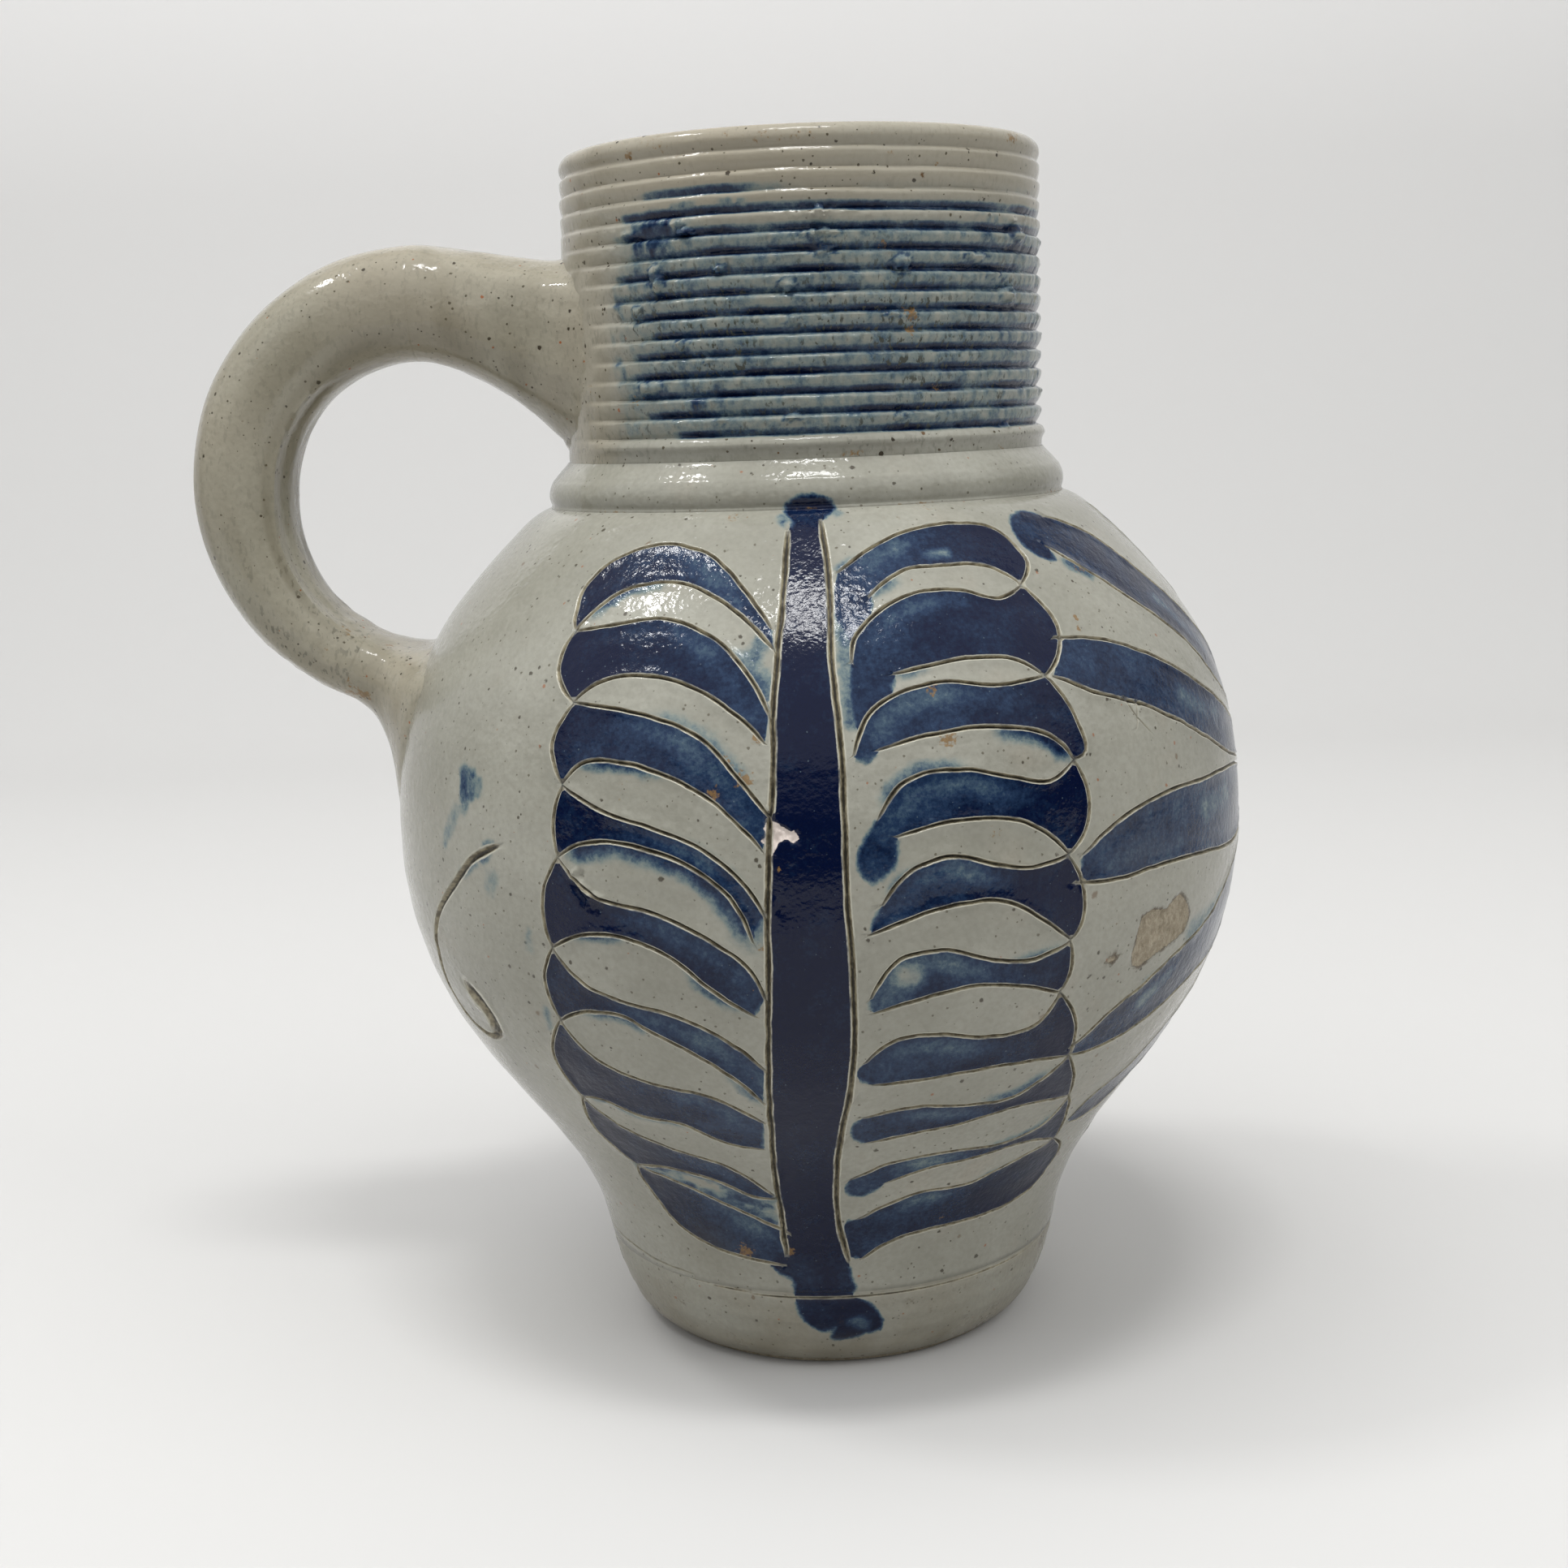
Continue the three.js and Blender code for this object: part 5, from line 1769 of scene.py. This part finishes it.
class Glaze:
    """Grey salt glaze over stoneware. The piece's attributes say where there is cobalt, an incised
    line, a stain or bare clay."""

    def __init__(self, name):
        self.material = bpy.data.materials.new(name)
        self.material.use_nodes = True
        self.tree = self.material.node_tree
        self.shader = self.tree.nodes["Principled BSDF"]
        self.place = add(self.tree, "ShaderNodeTexCoord").outputs["Object"]

    def painted(self, label):
        return add(self.tree, "ShaderNodeAttribute", attribute_name=label).outputs["Fac"]

    def noise(self, size, **settings):
        return noise_on(self.tree, self.place, size, **settings)

    def uneven(self, size, amount, **settings):
        """Noise on both sides of 0, up to about half an amount."""
        return self.times(self.plus(self.noise(size, **settings), -0.5), amount)

    def drawn_noise(self, size, squeeze, **settings):
        """Noise whose places are squeezed in height, so that it is drawn out upwards."""
        sockets = {0: self.place, 1: (1, 1, squeeze)}
        places = add(self.tree, "ShaderNodeVectorMath", sockets, operation="MULTIPLY").outputs[0]
        return noise_on(self.tree, places, size, **settings)

    def specks(self, spacing, radius, seed, strength):
        return calc(self.tree, "MULTIPLY", specks_on(self.tree, self.place, spacing, radius, seed), strength)

    def times(self, first, second):
        return calc(self.tree, "MULTIPLY", first, second)

    def plus(self, first, second):
        return calc(self.tree, "ADD", first, second)

    def larger(self, first, second):
        return calc(self.tree, "MAXIMUM", first, second)

    def ranged(self, value, *limits):
        return ranged(self.tree, value, *limits)

    def tint(self, amount, under, over):
        return tint(self.tree, amount, under, over)

    def between(self, share, first, second):
        return add(self.tree, "ShaderNodeMix", {0: share, 2: first, 3: second}, data_type="FLOAT").outputs[0]

    def body(self, pale, deep, speck):
        """Cloudy grey clay with fine grain, warm clouds, dark specks and a few brown ones."""
        colour = self.tint(self.ranged(self.noise(30, detail=4), 0.35, 0.68), pale, deep)
        colour = self.tint(self.ranged(self.noise(16, seed=5), 0.55, 0.8, 0, 0.35), colour, WARM_CLOUD)
        colour = self.tint(self.ranged(self.noise(0.9, detail=4, seed=2), 0.3, 0.75, 0, 0.24), colour, GRAIN)
        colour = self.tint(self.times(self.painted("warm"), 0.75), colour, WARM_CLAY)
        colour = self.tint(self.specks(1.4, 0.34, 0.4, 0.75 * speck), colour, DARK_SPECK)
        colour = self.tint(self.specks(2.8, 0.56, 0.6, 0.85 * speck), colour, DARKEST_SPECK)
        colour = self.tint(self.specks(4.2, 0.46, 1.3, 0.7 * speck), colour, RUSTY_SPECK)
        return self.tint(self.specks(8.5, 0.9, 0.9, 0.6 * speck), colour, BROWN_SPECK)

    def cobalt(self):
        """How thick the cobalt lies: full inside its outlines, with ragged edges, thin in the washes."""
        share = self.ranged(self.painted("line"), 0, 0.65, 1, 0)
        soft = self.ranged(share, 0.3, 1, 0.035, 0.17)
        ragged = self.uneven(1.1, self.times(soft, 1.5), detail=3, seed=31)
        depth = self.plus(self.plus(self.painted("paint"), -0.5), ragged)
        edge = calc(self.tree, "DIVIDE", depth, soft)
        cover = self.times(self.ranged(edge, -1, 1), self.painted("strength"))
        bleed = self.painted("bleed")
        washed = self.ranged(self.noise(2.2, detail=3, rough=0.6, seed=33), 0.3, 0.7, 0.72, 1.2)
        washed = self.between(self.ranged(bleed, 0.55, 0.95), washed, 1.0)
        return self.larger(cover, self.times(bleed, washed))

    def blue(self, cobalt):
        """Thin washes are greenish and thick ones deep blue, with fine mottling."""
        mottle = self.ranged(self.noise(0.75, detail=5, rough=0.7, seed=7), 0.28, 0.72, -0.13, 0.12)
        cloud = self.ranged(self.noise(6, detail=3, seed=9), 0.3, 0.7, -0.15, 0.07)
        ramp = add(self.tree, "ShaderNodeValToRGB", {"Fac": self.plus(self.plus(cobalt, mottle), cloud)})
        while len(ramp.color_ramp.elements) < len(COBALT_STEPS):
            ramp.color_ramp.elements.new(0.5)
        for element, (position, colour) in zip(ramp.color_ramp.elements, COBALT_STEPS):
            element.position = position
            element.color = colour
        return ramp.outputs["Color"]

    def stained(self, colour):
        """Dark flecks drawn out upwards, rusty stains, and brown smears, which on the strap's inner side are
        also painted shade.
        """
        flecks = self.ranged(self.drawn_noise(0.7, 0.45, detail=3, seed=39), 0.54, 0.62)
        flecks = self.times(self.times(flecks, self.painted("fleck")), 0.95)
        colour = self.tint(flecks, colour, FLECK)
        broken = self.uneven(0.6, 1.9, detail=5, seed=41)
        stain = self.ranged(self.plus(self.times(self.painted("stain"), 1.2), broken), 0.55, 0.85)
        colour = self.tint(self.times(stain, 0.8), colour, self.tint(self.noise(0.6, seed=11), *RUST))
        return self.tint(self.painted("brown"), colour, BROWN_SMEAR_AND_SHADE)

    def lined(self, colour):
        """Incised lines: pale clay with a dark bottom of painted shade, between thin pale lips of thinner
        glaze with a painted highlight.
        """
        depth = self.painted("line_depth")
        share = self.times(self.plus(self.times(self.painted("line"), -1), 1), 4)
        share = self.plus(share, self.uneven(0.7, 0.45, seed=35))
        # The lips get a painted highlight on thinner glaze, broken up by noise
        lip_breaks = self.ranged(self.noise(3.0, seed=13), 0.35, 0.55, 0.25, 0.95)
        lip = self.times(self.ranged(share, 1.7, 1.3), lip_breaks)
        colour = self.tint(self.times(lip, depth), colour, LINE_LIP_THIN_GLAZE_AND_HIGHLIGHT)
        clay = self.tint(self.ranged(self.noise(1.3, seed=15), 0.35, 0.65), *LINE_CLAY)
        colour = self.tint(self.times(self.ranged(share, 1.12, 0.88), depth), colour, clay)
        # The dark bottom is painted shade in the cut
        broken = self.ranged(self.noise(2.4, seed=37), 0.3, 0.52, 0.25, 1.0)
        bottom = self.times(self.ranged(share, 0.66, 0.3), broken)
        return self.tint(self.times(bottom, depth), colour, LINE_BOTTOM_SHADE)

    def bared(self, colour, bare, clay_depth):
        """Streaky bare clay with a broken dark rim."""
        broken = self.ranged(self.noise(2.5, seed=45), 0.4, 0.55, 0.1, 0.85)
        rim = self.times(self.ranged(clay_depth, 0.34, 0.45), broken)
        streaks = self.drawn_noise(0.9, 0.55, detail=6, rough=0.75, seed=17)
        clay = self.tint(self.ranged(streaks, 0.3, 0.7), *BARE_CLAY)
        return self.tint(bare, self.tint(rim, colour, BARE_RIM), clay)

    def set_gloss(self, gloss, dry):
        """Shiny glaze, duller in the lines, the stains and the inside, and dry on bare clay."""
        in_line = self.ranged(self.painted("line"), 0.72, 0.8)
        dull = self.times(in_line, self.times(self.painted("line_depth"), 0.4))
        rest = self.larger(self.times(self.painted("stain"), 0.25), self.times(self.painted("inside"), 0.5))
        dull = self.larger(self.larger(dull, dry), rest)
        haze = self.ranged(self.noise(9, seed=19), 0.3, 0.7, gloss * 0.85, gloss * 1.25)
        self.tree.links.new(self.between(dull, haze, 0.85), self.shader.inputs["Roughness"])
        self.shader.inputs["IOR"].default_value = GLAZE_IOR
        self.shader.inputs["Specular IOR Level"].default_value = GLAZE_SPECULAR

    def set_skin(self, peel, covered, bare):
        """The orange-peel skin of salt glaze, finer over the cobalt, and grit on bare clay."""
        height = self.times(self.noise(1.35, detail=1.5, rough=0.5, seed=21), 0.13 * peel)
        fine_amount = self.plus(self.times(covered, 0.03), 0.012)
        height = self.plus(height, self.times(self.noise(0.42, detail=2, seed=23), fine_amount))
        grit = self.times(self.noise(0.5, detail=4, seed=25), self.times(bare, 0.5))
        sockets = {"Height": self.plus(height, grit), "Strength": 1.0, "Distance": MM}
        bump = add(self.tree, "ShaderNodeBump", sockets)
        self.tree.links.new(bump.outputs["Normal"], self.shader.inputs["Normal"])

    def finish(self, pale, deep, gloss, peel, speck):
        cobalt = self.cobalt()
        covered = self.ranged(cobalt, 0.02, 0.3)
        colour = self.tint(covered, self.body(pale, deep, speck), self.blue(cobalt))
        pale_specks = self.times(self.specks(1.4, 0.2, 1.7, 0.55), covered)
        colour = self.stained(self.tint(pale_specks, colour, SPECK_IN_BLUE))

        ragged = self.uneven(0.5, 0.2, detail=4, seed=43)
        chip = self.ranged(self.plus(self.painted("chip"), self.times(ragged, 0.6)), 0.48, 0.52)
        colour = self.tint(chip, colour, self.tint(self.noise(0.6, detail=4, seed=49), *CHIPPED_CLAY))
        clay_depth = self.plus(self.painted("bare"), ragged)
        bare = self.ranged(clay_depth, 0.46, 0.53)
        colour = self.bared(self.lined(colour), bare, clay_depth)
        colour = self.tint(self.times(self.painted("inside"), 0.85), colour, INSIDE_COLOUR)
        self.tree.links.new(colour, self.shader.inputs["Base Color"])
        self.set_gloss(gloss, self.larger(bare, chip))
        self.set_skin(peel, covered, bare)
        return self.material


PALE = rgb(0.345, 0.34, 0.29)
DEEP = rgb(0.275, 0.27, 0.225)
BROWNISH = rgb(0.27, 0.25, 0.195)
STRAP_PALE = rgb(0.318, 0.306, 0.242)
# One sheet of paper: painted shade on the table, painted light up the wall
PAPER_FLOOR_SHADED = rgb(0.58, 0.574, 0.562)
PAPER_WALL_LIT = rgb(0.98, 0.97, 0.96)


def salt_glaze(name, pale=PALE, deep=DEEP, gloss=0.12, peel=1.0, speck=1.0):
    return Glaze(name).finish(pale, deep, gloss, peel, speck)


def plain_paper(name):
    """The pale matte sheet that the jug stands on. Its colour is darker on the table, as painted shade, and
    paler where it rises behind the jug, as painted light.
    """
    made = bpy.data.materials.new(name)
    made.use_nodes = True
    tree = made.node_tree
    shader = tree.nodes["Principled BSDF"]
    shader.inputs["Specular IOR Level"].default_value = 0.1
    shader.inputs["Roughness"].default_value = 0.9
    place = add(tree, "ShaderNodeTexCoord").outputs["Object"]
    height = add(tree, "ShaderNodeSeparateXYZ", {0: place}).outputs["Z"]
    # Painted light and shade: the paper is darker low down and paler higher up
    colour = tint(tree, ranged(tree, height, 0.02, 0.75), PAPER_FLOOR_SHADED, PAPER_WALL_LIT)
    tree.links.new(colour, shader.inputs["Base Color"])
    return made


def dress(piece, node, material):
    piece.data.materials.clear()
    piece.data.materials.append(material)
    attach(piece, "root")
    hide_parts(node)


# The studio, in metres

def backdrop():
    """A table top that curves up into a wall behind the jug."""
    front, bend, radius, top, half = -0.55, 0.62, 0.3, 2.4, 3.0
    line = [(front, 0.0)]
    for i in range(17):
        turn = math.pi / 2 * i / 16
        line.append((bend + radius * math.sin(turn), radius - radius * math.cos(turn)))
    line.append((bend + radius, top))
    corners = [(side * half, y, z) for y, z in line for side in (-1, 1)]
    faces = [(2 * i, 2 * i + 1, 2 * i + 3, 2 * i + 2) for i in range(len(line) - 1)]
    sheet = mesh_object("backdrop", np.array(corners) / MM, faces)
    sheet.data.materials.append(plain_paper("white_paper"))


def soft_panel(name, place, size, power, glossy=True):
    """A flat lamp at a place that looks at the jug's middle."""
    light = bpy.data.lights.new(name, "AREA")
    light.shape = "RECTANGLE"
    light.size, light.size_y = size
    light.energy = power
    lamp = bpy.data.objects.new(name, light)
    lamp.location = place
    lamp.rotation_euler = (Vector(place) - Vector((0, 0, 0.1))).to_track_quat("Z", "Y").to_euler()
    lamp.visible_glossy = glossy
    bpy.context.scene.collection.objects.link(lamp)


def lights():
    """Two ceiling lamps, two large soft ones above and from the right, and a room dark low down."""
    soft_panel("ceiling_left", (-0.71, -0.07, 1.3), (0.22, 0.08), 3.2)
    soft_panel("ceiling_right", (0.02, -0.37, 1.3), (0.36, 0.13), 5.2)
    soft_panel("soft_ceiling", (-0.35, -0.3, 1.3), (1.1, 0.9), 7, glossy=False)
    soft_panel("soft_right", (0.9, -0.55, 1.1), (0.8, 0.8), 3.6, glossy=False)
    world = bpy.data.worlds.new("white_room")
    bpy.context.scene.world = world
    world.use_nodes = True
    tree = world.node_tree
    way = add(tree, "ShaderNodeTexCoord").outputs["Generated"]
    rise = add(tree, "ShaderNodeSeparateXYZ", {0: way}).outputs["Z"]
    strength = ranged(tree, rise, 0.13, 0.42, 0.05, 0.86)
    backing = tree.nodes["Background"]
    backing.inputs["Color"].default_value = rgb(0.98, 0.99, 1.0)
    tree.links.new(strength, backing.inputs["Strength"])


def photo_camera():
    """The camera at the place and turn found from the photo's rim, ribs, outline and foot."""
    focal_pixels = 2624.8
    place = Vector((0, -377.3, 162.1)) * MM
    pitch_down, yaw, roll = 0.1745, -0.0156, -0.0383
    forward = Vector((
        math.sin(yaw) * math.cos(pitch_down), math.cos(yaw) * math.cos(pitch_down), -math.sin(pitch_down),
    ))
    level = Vector((math.cos(yaw), -math.sin(yaw), 0))
    upright = level.cross(forward)
    right = level * math.cos(roll) + upright * math.sin(roll)
    up = upright * math.cos(roll) - level * math.sin(roll)
    turn = Matrix((right, up, -forward)).transposed()
    data = bpy.data.cameras.new("photo_camera")
    data.sensor_width = 36
    data.sensor_fit = "HORIZONTAL"
    data.lens = focal_pixels * data.sensor_width / PHOTO_SIZE
    data.clip_start = 0.01
    camera = bpy.data.objects.new("photo_camera", data)
    camera.matrix_world = Matrix.Translation(place) @ turn.to_4x4()
    bpy.context.scene.collection.objects.link(camera)
    bpy.context.scene.camera = camera


# The jug

photo_camera()
backdrop()
lights()
bpy.context.scene.view_settings.view_transform = "Standard"

dress(belly(), "belly", salt_glaze("belly_salt_glaze"))
dress(foot(), "foot", salt_glaze("foot_salt_glaze", deep=BROWNISH, gloss=0.3))
dress(cordon(), "neck_cordon", salt_glaze("cordon_salt_glaze", peel=1.2))
dress(neck(), "neck", salt_glaze("neck_salt_glaze", peel=0.8, speck=1.9))
dress(handle(), "handle", salt_glaze("handle_salt_glaze", STRAP_PALE, BROWNISH, speck=1.6))
lute_glaze = salt_glaze("lute_salt_glaze", STRAP_PALE, BROWNISH, speck=1.6)
dress(upper_lute(), "handle_upper_lute", lute_glaze)
dress(lower_lute(), "handle_lower_lute", lute_glaze)
